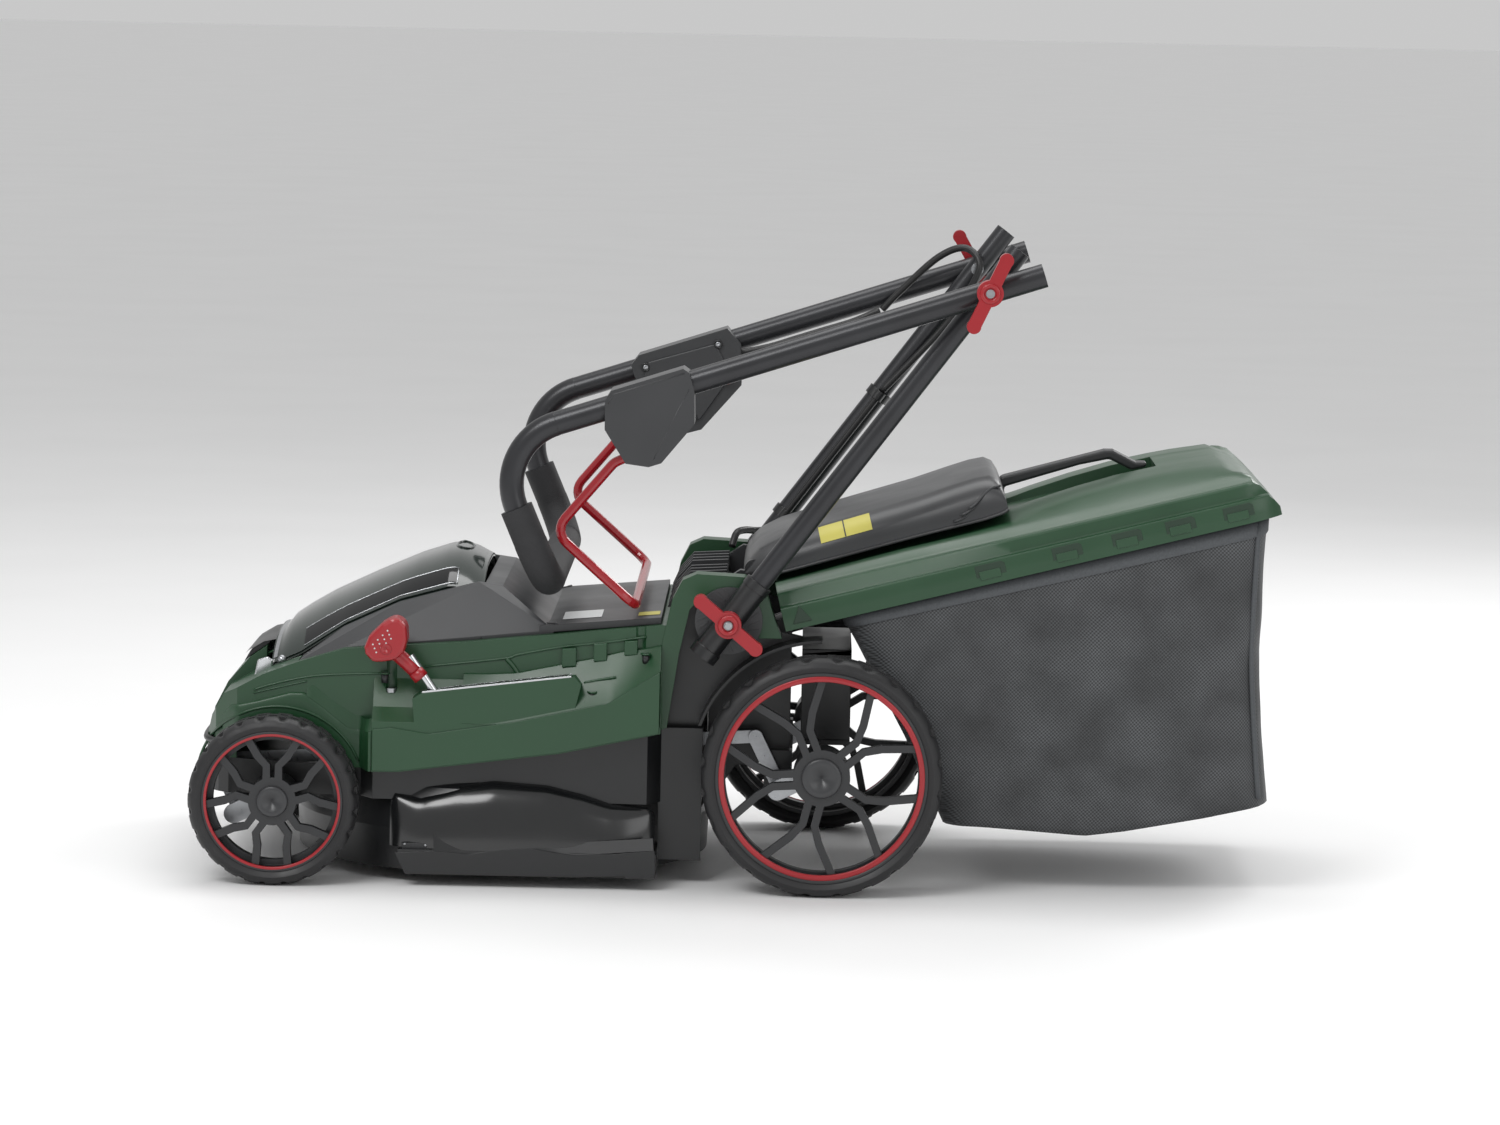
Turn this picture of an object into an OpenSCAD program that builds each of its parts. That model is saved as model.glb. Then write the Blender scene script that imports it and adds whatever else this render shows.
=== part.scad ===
// Cordless rotary lawn mower with a rear grass bag, its handle folded for storage.
// X runs rearwards, Y to the right-hand side, Z up. The origin is on the ground, below the
// middle of the whole mower. Places are measured from the front axle (fore) or the rear axle (aft).

/* [Overall] */
// Length from the front tyres to the back of the grass bag
overall_l = 993; // [900:1:1250]
// Distance between the front and rear wheel centres
wheelbase = 500; // [480:1:620]
// Width over the outer faces of the tyres
track_w = 430; // [424:1:520]
// Width of the body between the wheels, at cover height
body_w = 320; // [300:1:324]
// Width over the side panels, between the front and rear wheels
panel_w = 376; // [366:1:392]
// Wall of the moulded covers
wall = 3; // [2.5:0.5:4]

/* [Wheels] */
// Front tyre diameter
front_wheel_d = 155; // [130:1:186]
// Rear tyre diameter
rear_wheel_d = 220; // [184:1:264]
// Tyre width
tyre_w = 45; // [38:1:54]
// Rubber height above the rim
tyre_h = 13; // [10:1:16]
// Axle bar diameter
axle_d = 12; // [10:0.5:15]
// Radial gap of a shaft that turns in a hole
running_gap = 0.05; // [0.02:0.01:0.1]

/* [Height setting] */
// Offset of each wheel from its crank's pivot
crank_r = 45; // [38:1:54]
// Half of the cranks' swing
crank_half = 26.4; // [20:0.1:30]
// Half of the lever's swing
lever_half = 35; // [30:1:40]
// Length of the crank arm that carries the link rod
link_arm = 48; // [44:1:56]

/* [Cutting] */
// Diameter of the circle that the blade cuts
cut_d = 370; // [330:1:376]
// Lip of the deck above the ground at the lowest cut
lip_z = 12; // [8:1:16]
// Height of the blade above the ground at the lowest cut
blade_z = 27; // [24:1:32]
// Top of the cutting chamber
chamber_top = 96; // [94:1:98]
// Motor can diameter
motor_d = 96; // [80:1:116]

/* [Handle] */
// Lower tube diameter
lower_tube_d = 20; // [17:0.5:24]
// Upper tube diameter
upper_tube_d = 22; // [18:0.5:26]
// Lower tube length between its two pivots
lower_tube_l = 384; // [320:1:461]
// Slope of the lower tubes
lower_slope = 53.3; // [48:0.1:58]
// Length of the upper tube from the fold pivot to the corner at the grip
upper_reach = 472; // [440:1:500]
// Length of each grip leg, from the corner to the grip's bar
leg_l = 137; // [125:1:165]
// Foam grip diameter
grip_d = 30; // [28:1:36]
// Wall of the handle tubes
tube_wall = 1.5; // [1:0.1:2]

/* [Power] */
// Width of one battery pack
battery_w = 76; // [64:1:84]
// Length of one battery pack
battery_l = 112; // [94:1:118]

/* [Grass bag] */
// Width of the bag's lid
bag_w = 326; // [280:1:330]
// Height of the bag's floor above the ground
bag_floor = 58; // [50:1:80]

/* [Hidden] */
$fn = 48;

green = "#24472f";
dark_grey = "#3c3c3e";
black = "#1d1d1f";
red = "#a01722";
steel = "#b9bbbe";

front_r = front_wheel_d / 2;
rear_r = rear_wheel_d / 2;
axle_r = axle_d / 2;
front_axle_x = front_r - overall_l / 2;
rear_axle_x = front_axle_x + wheelbase;
bag_back_x = overall_l / 2;
function fore(x) = front_axle_x + x;
function aft(x) = rear_axle_x + x;

// Height setting: each wheel hangs behind its crank's pivot, and turns down as the deck rises
crank_back = crank_r * cos(crank_half);
crank_rise = crank_r * sin(crank_half);
front_pivot = [fore(-crank_back), front_r - crank_rise];
rear_pivot = [aft(-crank_back), rear_r - crank_rise];
link_lean = [-link_arm * sin(crank_half), link_arm * cos(crank_half)];
front_pin = front_pivot + link_lean;
rear_pin = rear_pivot + link_lean;
link_y = 112;
link_t = 4;
arm_t = 5;
crank_t = 5;
wheel_inner_y = track_w / 2 - tyre_w;
crank_y = wheel_inner_y - 12;
lever_arm = link_arm * sin(crank_half) / sin(lever_half);
lever_x = aft(-303);
lever_z = 103;
lever_tip = 155;
lever_y = panel_w / 2 - 8;
lever_rod_r = 4;
lever_jog = 42;
lever_pin = [lever_x - lever_arm * sin(lever_half), lever_z + lever_arm * cos(lever_half)];
slot_w = 10;

// Deck
blade_x = aft(-300);
chamber_r = cut_d / 2 + 5;
lower_w = min(body_w, 2 * crank_y - 10);
rear_w = min(300, 2 * crank_y - 12);
panel_front = fore(88);
panel_back = aft(-148);
panel_top = 150;
plate_z = chamber_top - 4;
shaft_r = 8;
// Space round the rear tyres, and how far the front arches' edges hide behind the tyres
arch_gap = 8;
arch_lap = 10;
hump_w = min(322, 2 * wheel_inner_y - 16);
hump_t = 26;
frame_y = hump_w / 2 - hump_t - 9;
console_front = lever_x - 72;
console_back = lever_x + 82;
screw_top = 174;

// Handle
pivot_x = aft(-88);
pivot_z = 247;
lower_y = 175;
upper_y = lower_y + lower_tube_d / 2 + upper_tube_d / 2 + 1;
lower_dir = [cos(lower_slope), sin(lower_slope)];
fold_x = pivot_x + lower_tube_l * lower_dir.x;
fold_z = pivot_z + lower_tube_l * lower_dir.y;
tube_past = 46;
upper_past = 52;
bolt_r = 4;
disc_r = 31;
disc_t = 6;
socket_r = lower_tube_d / 2 + 2.3;
bend_r = 40;
top_bend_r = 58;
grip_bend = 95;
hood_back_z = 234;
grip_gap = 33;
grip_z = hood_back_z + grip_gap + grip_d / 2;

// Reach of the grip's bar from the fold pivot, and the folded slope that sets it down at grip_z
bar_u = upper_reach + leg_l * cos(grip_bend);
bar_v = -leg_l * sin(grip_bend);
upper_slope = asin((fold_z - grip_z) / norm([bar_u, bar_v])) + atan2(bar_v, bar_u);

// Control boxes, measured along the upper tube from the fold pivot
bracket_at = 280;
switch_at = 241;
box_out = 15;
box_w = 44;
bail_pivot = [325, -45];
bail_r = 4.5;
bail_hub_r = 6.5;
bail_y = upper_y - grip_d / 2 - bail_r - 1.5;

// Flap and bag
flap_pin = [aft(-66), 289];
flap_pin_r = 4;
bag_slope = 14.5;
flap_w = 240;
mouth_x = aft(-30);
mouth_w = 180;

// Battery bay
bay_floor = 172;
bay_front = fore(54);
lid_w = 220;
lid_t = 3;
lid_pin = [fore(-2), 195];
lid_pin_r = 2.5;
hood_half = body_w / 2 - 10;

cable_r = 3.5;
screw_r = 4;

// Turns the drawing plane upright: drawn x, y become X, Z, and the height h runs along +Y from y
module upright(y, h) {
    translate([0, y + h, 0]) rotate([90, 0, 0]) linear_extrude(height = h) children();
}

// The same shape on both sides: its own place and its mirror image
module both_sides() {
    children();
    mirror([0, 1, 0]) children();
}

// Round bar between two points
module rod(p, q, r) {
    d = q - p;
    translate(p) rotate([0, acos(d.z / norm(d)), atan2(d.y, d.x)])
        cylinder(h = norm(d), r = r);
}

// Cylinder along Y at (x, z), from y over a length h
module cross_pin(at, y, h, r) {
    translate([at.x, y, at.y]) rotate([-90, 0, 0]) cylinder(h = h, r = r);
}

// Flat strap with round ends between two points of an upright plane, from y over a thickness t
function strap_end(at, turn, r) = [for (a = [-90 : 15 : 90]) at + r * [cos(turn + a), sin(turn + a)]];
module strap(p, q, r, y, t) {
    d = q - p;
    turn = atan2(d.y, d.x);
    upright(y, t) polygon(concat(strap_end(q, turn, r), strap_end(p, turn + 180, r)));
}

// Tube swept along points as a closed skin with flat ends
function unit(v) = v / norm(v);
function heading(pts, i) = unit(pts[min(i + 1, len(pts) - 1)] - pts[max(i - 1, 0)]);
function side_of(d) = unit(cross(d, abs(d.y) < 0.9 ? [0, 1, 0] : [0, 0, 1]));
function square_to(u, d) = unit(u - (u * d) * d);
// One sideways direction for each point, carried along without turning
function sideways(pts) = [
    for (i = 0, u = side_of(heading(pts, 0)); i < len(pts); i = i + 1,
        u = i < len(pts) ? square_to(u, heading(pts, i)) : u) u
];
module cable(pts, r, sides = 8) {
    n = len(pts);
    sides_at = sideways(pts);
    rings = [
        for (i = [0 : n - 1], a = [0 : sides - 1])
            let (d = heading(pts, i), u = sides_at[i], v = cross(d, u), t = a * 360 / sides)
                pts[i] + r * (cos(t) * u + sin(t) * v)
    ];
    skin = [
        for (i = [0 : n - 2], a = [0 : sides - 1])
            let (b = (a + 1) % sides)
                [(i + 1) * sides + a, (i + 1) * sides + b, i * sides + b, i * sides + a]
    ];
    ends = [[for (a = [0 : sides - 1]) a], [for (a = [sides - 1 : -1 : 0]) (n - 1) * sides + a]];
    polyhedron(rings, concat(skin, ends), convexity = 6);
}

// A smooth curve through hand-placed points: Catmull-Rom, with steps between each pair
function curve_point(a, b, c, d, t) =
    0.5 * (2 * b + (c - a) * t + (2 * a - 5 * b + 4 * c - d) * t * t
        + (3 * b - a - 3 * c + d) * t * t * t);
function smooth(pts, steps) = concat(
    [for (i = [0 : len(pts) - 2], s = [0 : steps - 1])
        curve_point(pts[max(i - 1, 0)], pts[i], pts[i + 1], pts[min(i + 2, len(pts) - 1)], s / steps)],
    [pts[len(pts) - 1]]
);

// ---------------------------------------------------------------- deck

// Line where the black deck meets the green cover, front to rear
seam = [
    [fore(-71), 110], [fore(69), 103], [aft(-387), 104], [aft(-240), 124], [aft(-145), 145]
];

// Line where the green cover meets the grey hood
hood_line = [[fore(18), 200], [fore(60), 213], [aft(-325), 222], [aft(-149), 241]];

// Half-width outline of the deck walls in plan, drawn in by inset
module deck_plan(inset) {
    nose = 125 - inset;
    lower = lower_w / 2 - inset;
    side = panel_w / 2 - 18 - inset;
    rear = rear_w / 2 - inset;
    points = [
        [fore(-71) + inset, nose], [fore(-56) + inset, lower - 8], [fore(-46) + inset, lower],
        [panel_front - 12 + inset, lower], [panel_front + inset, side],
        [panel_back - 12 - inset, side], [panel_back - inset, rear], [aft(-110) - inset, rear]
    ];
    polygon(concat(points, [for (i = [len(points) - 1 : -1 : 0]) [points[i].x, -points[i].y]]));
}

module dome_outline(t) {
    r = chamber_r + wall - t;
    polygon([
        [0, lip_z - t], [r, lip_z - t], [r + 2, 50], [r - 3, 74], [r - 12, 88], [r - 28, chamber_top - t],
        [0, chamber_top - t]
    ]);
}

module chute_cut(grow) {
    x0 = aft(-190);
    x1 = mouth_x;
    upright(-mouth_w / 2 - grow, mouth_w + 2 * grow) polygon([
        [x0, 34 - grow], [aft(-120), 46 - grow], [aft(-80), rear_pivot.y + 16 - grow],
        [x1, rear_pivot.y + 22 - grow], [x1, 222 + grow], [aft(-110), 170 + grow],
        [aft(-185), chamber_top - 6 + grow], [x0, chamber_top - 6 + grow]
    ]);
}

module blade_housing() {
    skirt_x0 = aft(-386);
    skirt_l = 236;
    skirt_y = chamber_r + wall + 3;
    color(black) difference() {
        union() {
            translate([blade_x, 0, 0]) rotate_extrude($fn = 96) dome_outline(0);
            // Tray: a floor level with the chamber's top, and walls up to the seam
            difference() {
                intersection() {
                    translate([0, 0, 76]) linear_extrude(height = 80) deck_plan(0);
                    upright(-panel_w, 2 * panel_w)
                        polygon(concat(seam, [[aft(-100), 145], [aft(-100), 60], [fore(-71), 60]]));
                }
                translate([0, 0, chamber_top]) linear_extrude(height = 80) deck_plan(wall);
                translate([0, 0, 60]) linear_extrude(height = plate_z - 60) deck_plan(wall);
            }
            // Straight skirts beside the chamber, and the deck's rear corners
            both_sides() {
                upright(skirt_y - wall, wall) polygon([
                    [skirt_x0 + 8, lip_z], [skirt_x0 + skirt_l, lip_z], [skirt_x0 + skirt_l, 34],
                    [skirt_x0, 34]
                ]);
                translate([skirt_x0, 90, 31]) cube([skirt_l, skirt_y - 90, wall]);
                translate([skirt_x0 + skirt_l - wall, 100, lip_z])
                    cube([wall, skirt_y - 100, 34 - lip_z]);
                translate([aft(-150), rear_w / 2 - wall, 22]) cube([40, wall, 75]);
            }
            // Seat for the motor
            translate([blade_x, 0, chamber_top - 1]) cylinder(h = 5, r = motor_d / 2 + 6);
        }
        translate([blade_x, 0, 0]) intersection() {
            rotate_extrude($fn = 96) dome_outline(wall);
            cylinder(h = chamber_top - wall, r = chamber_r + 20);
        }
        translate([blade_x, 0, 0]) cylinder(h = 200, r = shaft_r + 2);
        chute_cut(wall);
        // Slots for the two link arms, over their whole swing
        for (p = [front_pivot, rear_pivot])
            translate([p.x - link_arm, -link_y - arm_t - 6, 60]) cube([2 * link_arm, arm_t + 10, 60]);
        // Way out for the link rod
        translate([aft(-116), -link_y - 3, 104]) cube([14, link_t + 6, 60]);
        // Room for the lever's shaft
        cross_pin([lever_x, lever_z], -panel_w / 2 + 24, 46, 9);
    }
}

module discharge_chute() {
    // Mouth lands outside the bag's frame; the duct runs over the rear axle
    color(black) difference() {
        intersection() {
            chute_cut(wall);
            translate([aft(-106), -200, 0]) cube([200, 400, 400]);
        }
        translate([1, 0, 0]) chute_cut(0);
        translate([-1, 0, 0]) chute_cut(0);
    }
}

// Profile of the cover's crown and sides, front to rear
module cover_side() {
    polygon(concat(
        [[fore(-71), 122], [fore(-65), 144], [fore(-52), 167], [fore(-14), 188]], hood_line,
        [[aft(-145), 241]], [for (i = [len(seam) - 1 : -1 : 0]) seam[i]]
    ));
}

module cover_crown() {
    polygon([
        [fore(-73), 112], [fore(-68), 144], [fore(-56), 168], [fore(-36), 191], [fore(-19), 203],
        [fore(2), 206], [fore(20), 200], [fore(20), 112]
    ]);
}

module cover_plan(inset) {
    half = body_w / 2 - inset;
    points = [
        [fore(-71) + inset, 105 - inset], [fore(-60) + inset, 135 - inset],
        [fore(-38) + inset, half], [aft(-145) - inset, half]
    ];
    polygon(concat(points, [for (i = [len(points) - 1 : -1 : 0]) [points[i].x, -points[i].y]]));
}

// Lengthwise bar with the cross-section of the side panel, drawn in by inset
module panel_bar(x0, x1, inset) {
    outer = panel_w / 2 - inset;
    translate([x0, 0, 0]) rotate([90, 0, 90]) linear_extrude(height = x1 - x0) polygon([
        [body_w / 2 - 12, 60], [outer, 60], [outer, panel_top - inset],
        [outer - 14, panel_top + 12 - inset], [body_w / 2 - 3, panel_top + 42 - inset],
        [body_w / 2 - 12, panel_top + 42 - inset]
    ]);
}

// Console round the height lever, drawn in by inset
module console(inset) {
    upright(-panel_w / 2 + inset, panel_w / 2 - body_w / 2 + 12 - 2 * inset) polygon([
        [console_front + 4 + inset, 120], [console_front + inset, 172 - inset],
        [console_front + 8 + inset, 177 - inset], [console_back - 6 - inset, 195 - inset],
        [console_back - inset, 188], [console_back - 16, 120]
    ]);
}

module humps() {
    y0 = hump_w / 2 - hump_t;
    both_sides() upright(y0, hump_t) difference() {
        polygon([
            [aft(-158), 146], [aft(-148), 228], [aft(-140), 265], [aft(-131), 283], [aft(-118), 289],
            [aft(-74), 287], [aft(-55), 276], [aft(-46), 249], [aft(-39), 231], [aft(-60), 231],
            [aft(-66), 250], [aft(-76), 268], [aft(-112), 270], [aft(-124), 256], [aft(-133), 215],
            [aft(-143), 146]
        ]);
    }
}

module deck_cover() {
    color(green) difference() {
        union() {
            difference() {
                union() {
                    intersection() {
                        upright(-body_w / 2, body_w) cover_side();
                        translate([0, 0, 60]) linear_extrude(height = 300) cover_plan(0);
                    }
                    upright(-70, 140) cover_crown();
                    // Side panels between the wheels
                    both_sides() difference() {
                        panel_bar(panel_front, panel_back, 0);
                        below_seam();
                    }
                    console(0);
                }
                // Hollow inside
                intersection() {
                    translate([0, 0, -wall]) upright(-body_w / 2 + wall, body_w - 2 * wall) cover_side();
                    translate([0, 0, 60]) linear_extrude(height = 300) cover_plan(wall);
                }
                translate([wall, 0, -wall]) upright(-70 + wall, 140 - 2 * wall) cover_crown();
                both_sides() panel_bar(panel_front + wall, panel_back - wall, wall);
                console(wall);
            }
            humps();
            // Bosses for the screws, up to the panels' skin
            intersection() {
                screw_places() translate([0, 0, 112]) cylinder(h = 100, r = 8);
                both_sides() panel_bar(panel_front, panel_back, 0.5);
            }
        }
        // Opening below the hood
        translate([fore(17), -hood_half - 0.3, 150])
            cube([aft(-149.7) - fore(17), 2 * hood_half + 0.6, 120]);
        // Room for the lid's front edge, and sockets for its pins
        translate([fore(-20), -lid_w / 2 - 1.5, 184]) cube([60, lid_w + 3, 60]);
        cross_pin(lid_pin, -lid_w / 2 - 7, lid_w + 14, lid_pin_r + running_gap);
        // Slot in the console for the lever
        translate([lever_x - 64, -lever_y - slot_w / 2, 100]) cube([138, slot_w, 120]);
        // Front wheel arches
        both_sides() cross_pin([fore(0), front_r], lower_w / 2, 60, front_r - arch_lap);
        below_seam();
        screw_places() {
            cylinder(h = screw_top + 1, r = screw_r - 0.7);
            translate([0, 0, screw_top]) cylinder(h = 80, r = screw_r + 1.5);
        }
    }
}

module below_seam() {
    upright(-panel_w, 2 * panel_w) polygon(concat(
        [[fore(-120), 20], [fore(-120), 110]], seam, [[aft(-60), 146], [aft(-60), 20]]
    ));
}

// Screws that hold the cover down, each in its own well
module screw_places() {
    for (x = [panel_front + 16, panel_back - 20], y = [-1, 1] * (body_w / 2 + 3))
        translate([x, y, 0]) children();
}

module cover_screws() {
    color(steel) screw_places() {
        translate([0, 0, chamber_top]) cylinder(h = screw_top - chamber_top, r = screw_r - 1);
        translate([0, 0, screw_top]) cylinder(h = 4, r = screw_r + 1);
    }
}

module hood_shape(t) {
    low = hood_half - t;
    high = lid_w / 2 + 6 - t;
    hull() {
        upright(-low, 2 * low) polygon(concat(
            [for (p = hood_line) [min(p.x, aft(-249)) , p.x > aft(-249) ? 233 : p.y]],
            [[aft(-249), 229]]
        ));
        upright(-high, 2 * high) polygon([
            [fore(22), 200], [fore(56), 228 - t], [fore(107), 252 - t], [fore(153), 265 - t],
            [fore(180), 272 - t], [aft(-298), 269 - t], [aft(-251) - t, 236 - t], [aft(-251) - t, 225]
        ]);
    }
}

module motor_hood() {
    color(dark_grey) difference() {
        union() {
            hood_shape(0);
            // Rear panel, level with the cover
            upright(-hood_half, 2 * hood_half) polygon([
                [aft(-262), 230], [aft(-150), 241], [aft(-150), 247], [aft(-262), 237]
            ]);
        }
        translate([0, 0, -wall]) hood_shape(wall);
        // Opening under the lid
        translate([fore(0), -lid_w / 2 - 1, 180]) cube([aft(-314) - fore(0), lid_w + 2, 120]);
    }
}

lid_profile_mid = [
    [fore(-2), 222], [fore(36), 246], [fore(78), 266], [fore(119), 284], [fore(156), 294],
    [fore(170), 291], [fore(184), 283]
];
lid_profile_side = [
    [fore(-12), 190], [fore(15), 203], [fore(56), 230], [fore(107), 254], [fore(153), 267],
    [fore(180), 262]
];
module lid_shape(t) {
    hull() {
        upright(-40, 80) polygon(concat(lid_profile_mid, [[fore(180), 250], [fore(-8), 196]]));
        upright(-lid_w / 2 + t, lid_w - 2 * t)
            polygon(concat(lid_profile_side, [[fore(180), 246], [fore(-6), 190]]));
    }
}

module battery_lid() {
    color("#2b2b2e") difference() {
        lid_shape(0);
        translate([0, 0, -lid_t]) lid_shape(lid_t);
        translate([lid_t, 0, -12]) lid_shape(lid_t);
        translate([fore(-40), -lid_w, 150]) cube([230, 2 * lid_w, 39]);
    }
    color(dark_grey) both_sides() cross_pin(lid_pin, lid_w / 2 - 8, 13, lid_pin_r);
}

module battery_tray() {
    x0 = bay_front;
    l = battery_l + 14;
    w = 2 * battery_w + 12;
    color(black) difference() {
        translate([x0, -w / 2, bay_floor]) cube([l, w, 44]);
        translate([x0 + 3, -w / 2 + 3, bay_floor + 3]) cube([l - 6, w - 6, 50]);
    }
}

module battery_packs() {
    for (side = [-1, 1])
        color("#2a2a2c") translate([bay_front + 7, side * (battery_w / 2 + 1), bay_floor + 3]) {
            translate([0, -battery_w / 2 + 2, 0]) cube([battery_l, battery_w - 4, 40]);
            translate([22, -battery_w / 2 + 8, 40]) cube([battery_l - 28, battery_w - 16, 12]);
        }
}

module motor() {
    color("#55575a") translate([blade_x, 0, chamber_top + 4]) difference() {
        union() {
            cylinder(h = 8, r = motor_d / 2);
            translate([0, 0, 8]) cylinder(h = 46, r = motor_d / 2 - 5);
            translate([0, 0, 54]) cylinder(h = 8, r = motor_d / 4);
        }
        translate([0, 0, -1]) cylinder(h = 50, r = shaft_r + running_gap);
    }
}

module height_plate() {
    // Lies on the console's top; seven notches hold the lever
    slope = atan2(18, console_back - console_front - 14);
    plate_l = console_back - console_front - 16;
    travel = 126;
    color(steel) translate([console_front + 9, -lever_y, 177.2]) rotate([0, -slope, 0])
        difference() {
            translate([0, -7.5, 0]) cube([plate_l - 1, 15, 1.6]);
            translate([4, -lever_rod_r - 0.6, -1]) cube([plate_l - 9, 2 * lever_rod_r + 1.2, 4]);
            for (i = [0 : 6])
                translate([11 + i * travel / 6, 4, -1]) cylinder(h = 4, r = 3.2);
        }
}

module rear_frames() {
    color(black) both_sides() {
        upright(frame_y, 8) difference() {
            polygon([
                [aft(-144), 148], [aft(-134), 214], [aft(-126), 254], [aft(-112), 268], [aft(-76), 266],
                [aft(-62), 246], [aft(-50), 236], [aft(-2), 226], [aft(-2), rear_r + 60],
                [aft(-109), rear_r], [aft(-109), 98], [aft(-144), 98]
            ]);
            translate([aft(0), rear_r]) circle(r = rear_r + arch_gap);
        }
        // Fender lip over the rear tyre
        upright(frame_y + 7, wheel_inner_y - frame_y - 9) difference() {
            translate([aft(0), rear_r]) circle(r = rear_r + arch_gap + 3);
            translate([aft(0), rear_r]) circle(r = rear_r + arch_gap);
            translate([aft(-2), -200]) square(800);
            translate([aft(-400), -200]) square([800, rear_r + 240]);
        }
    }
}

module handle_discs() {
    // Toothed discs that set the handle's angle, each on a boss that crosses the hump
    color(dark_grey) both_sides() difference() {
        union() {
            cross_pin([pivot_x, pivot_z], hump_w / 2 - hump_t + 4, hump_t - 4, 16);
            cross_pin([pivot_x, pivot_z], hump_w / 2 + 0.2, disc_t - 2.6, disc_r);
            cross_pin([pivot_x, pivot_z], hump_w / 2, 0.4, 16);
        }
        cross_pin([pivot_x, pivot_z], 0, 300, bolt_r + running_gap);
    }
}

module hinge_cradle() {
    y0 = frame_y - 0.5;
    ribs = 4;
    color(dark_grey) difference() {
        union() {
            upright(-y0, 2 * y0) polygon([
                [aft(-143), 242], [aft(-136), 262], [aft(-124), 276], [aft(-92), 278], [aft(-92), 262],
                [aft(-80), 256], [aft(-74), 240]
            ]);
            for (i = [0 : ribs - 1])
                both_sides() upright(18 + i * 24, 5) polygon([
                    [aft(-146), 250], [aft(-139), 266], [aft(-126), 281], [aft(-92), 283],
                    [aft(-92), 262], [aft(-130), 250]
                ]);
            // Knuckles that carry the flap's pin
            both_sides() cross_pin(flap_pin, flap_w / 2 - 20 + 1, 10, 9);
            both_sides() upright(flap_w / 2 - 20 + 1, 10)
                polygon([[aft(-92), 262], [aft(-92), 279], [aft(-79), 288], [aft(-62), 286],
                    [aft(-74), 250]]);
        }
        cross_pin(flap_pin, -200, 400, flap_pin_r);
    }
}

module flap_hinge_pin() {
    color(steel) cross_pin(flap_pin, -flap_w / 2 - 6 + 12, flap_w - 12, flap_pin_r);
}

module front_grip() {
    // Carrying grip that bridges the recess in the nose
    w = 110;
    color(dark_grey) difference() {
        upright(-w / 2, w) polygon([
            [fore(-43), 185], [fore(-37), 195.5], [fore(-27), 203], [fore(-19), 206],
            [fore(-19), 203.2], [fore(-36), 191.2]
        ]);
        upright(-w / 2 + 14, w - 28) polygon([
            [fore(-40), 188], [fore(-34), 195.5], [fore(-24), 202.6], [fore(-18), 203.5],
            [fore(-18), 199], [fore(-34), 184]
        ]);
    }
}

module axle_clamps() {
    color(black) for (p = [front_pivot, rear_pivot], side = [-1, 1]) {
        rear = p == rear_pivot;
        top = rear ? rear_pivot.y + 30 : plate_z;
        y = rear ? mouth_w / 2 + wall + 8 : 60;
        translate([0, side * y, 0]) difference() {
            translate([p.x - 13, -8, p.y - 12]) cube([26, 16, top - p.y + 12]);
            cross_pin(p, -10, 20, axle_r + running_gap);
        }
    }
}

// ---------------------------------------------------------------- wheels

// Wheel pieces are drawn with the axle along Z and the outer face up, centred on the tyre
module tyre(r) {
    shoulder = 9;
    rotate_extrude($fn = 96) difference() {
        union() {
            translate([r - tyre_h, -tyre_w / 2 + shoulder]) square([tyre_h, tyre_w - 2 * shoulder]);
            translate([r - tyre_h, -tyre_w / 2]) square([tyre_h - shoulder, tyre_w]);
            for (side = [-1, 1])
                translate([r - shoulder, side * (tyre_w / 2 - shoulder)]) circle(r = shoulder);
        }
        translate([0, -tyre_w]) square([r - tyre_h, 2 * tyre_w]);
    }
}

// Flat strip of width w along a line of points
function strip_side(pts, w, s) = [
    for (i = [0 : len(pts) - 1])
        let (d = unit(pts[min(i + 1, len(pts) - 1)] - pts[max(i - 1, 0)]))
            pts[i] + s * w / 2 * [-d.y, d.x]
];
function reversed(v) = [for (i = [len(v) - 1 : -1 : 0]) v[i]];

module rim(r, hub_r, turn) {
    rim_r = r - tyre_h - 0.05;
    barrel = 4;
    spokes = 5;
    face = tyre_w / 2 - 4;
    spoke_t = 8;
    spread = 22;
    split = 5.5;
    inner = rim_r - barrel;
    leg = [
        [hub_r - 3, split], [hub_r + 0.28 * (inner - hub_r), split],
        [hub_r + 0.5 * (inner - hub_r), split + 8],
        (inner + 1) * [cos(spread), sin(spread)]
    ];
    difference() {
        union() {
            rotate_extrude($fn = 96) translate([inner, -tyre_w / 2 + 4]) square([barrel, tyre_w - 8]);
            translate([0, 0, -tyre_w / 2 + 2]) cylinder(h = tyre_w - 8, r = hub_r);
            translate([0, 0, face - spoke_t - 2]) linear_extrude(height = spoke_t)
                for (i = [0 : spokes - 1], s = [-1, 1])
                    rotate(turn + i * 360 / spokes) mirror([0, s < 0 ? 1 : 0])
                        polygon(concat(strip_side(leg, 7, 1), reversed(strip_side(leg, 7, -1))));
            // Step inside the barrel
            rotate_extrude($fn = 96) translate([inner - 5, -4]) square([6, 10]);
        }
        translate([0, 0, -tyre_w]) cylinder(h = 2 * tyre_w, r = axle_r + running_gap);
        translate([0, 0, tyre_w / 2 - 12]) cylinder(h = 20, r = hub_r - 8);
    }
}

module hub_cap(hub_r) {
    translate([0, 0, tyre_w / 2 - 9]) cylinder(h = 6, r = hub_r - 8);
}

module wheel_place(front, side) {
    r = front ? front_r : rear_r;
    translate([front ? fore(0) : aft(0), side * (track_w / 2 - tyre_w / 2), r])
        rotate([-side * 90, 0, 0]) children();
}

// ---------------------------------------------------------------- height setting

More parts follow.
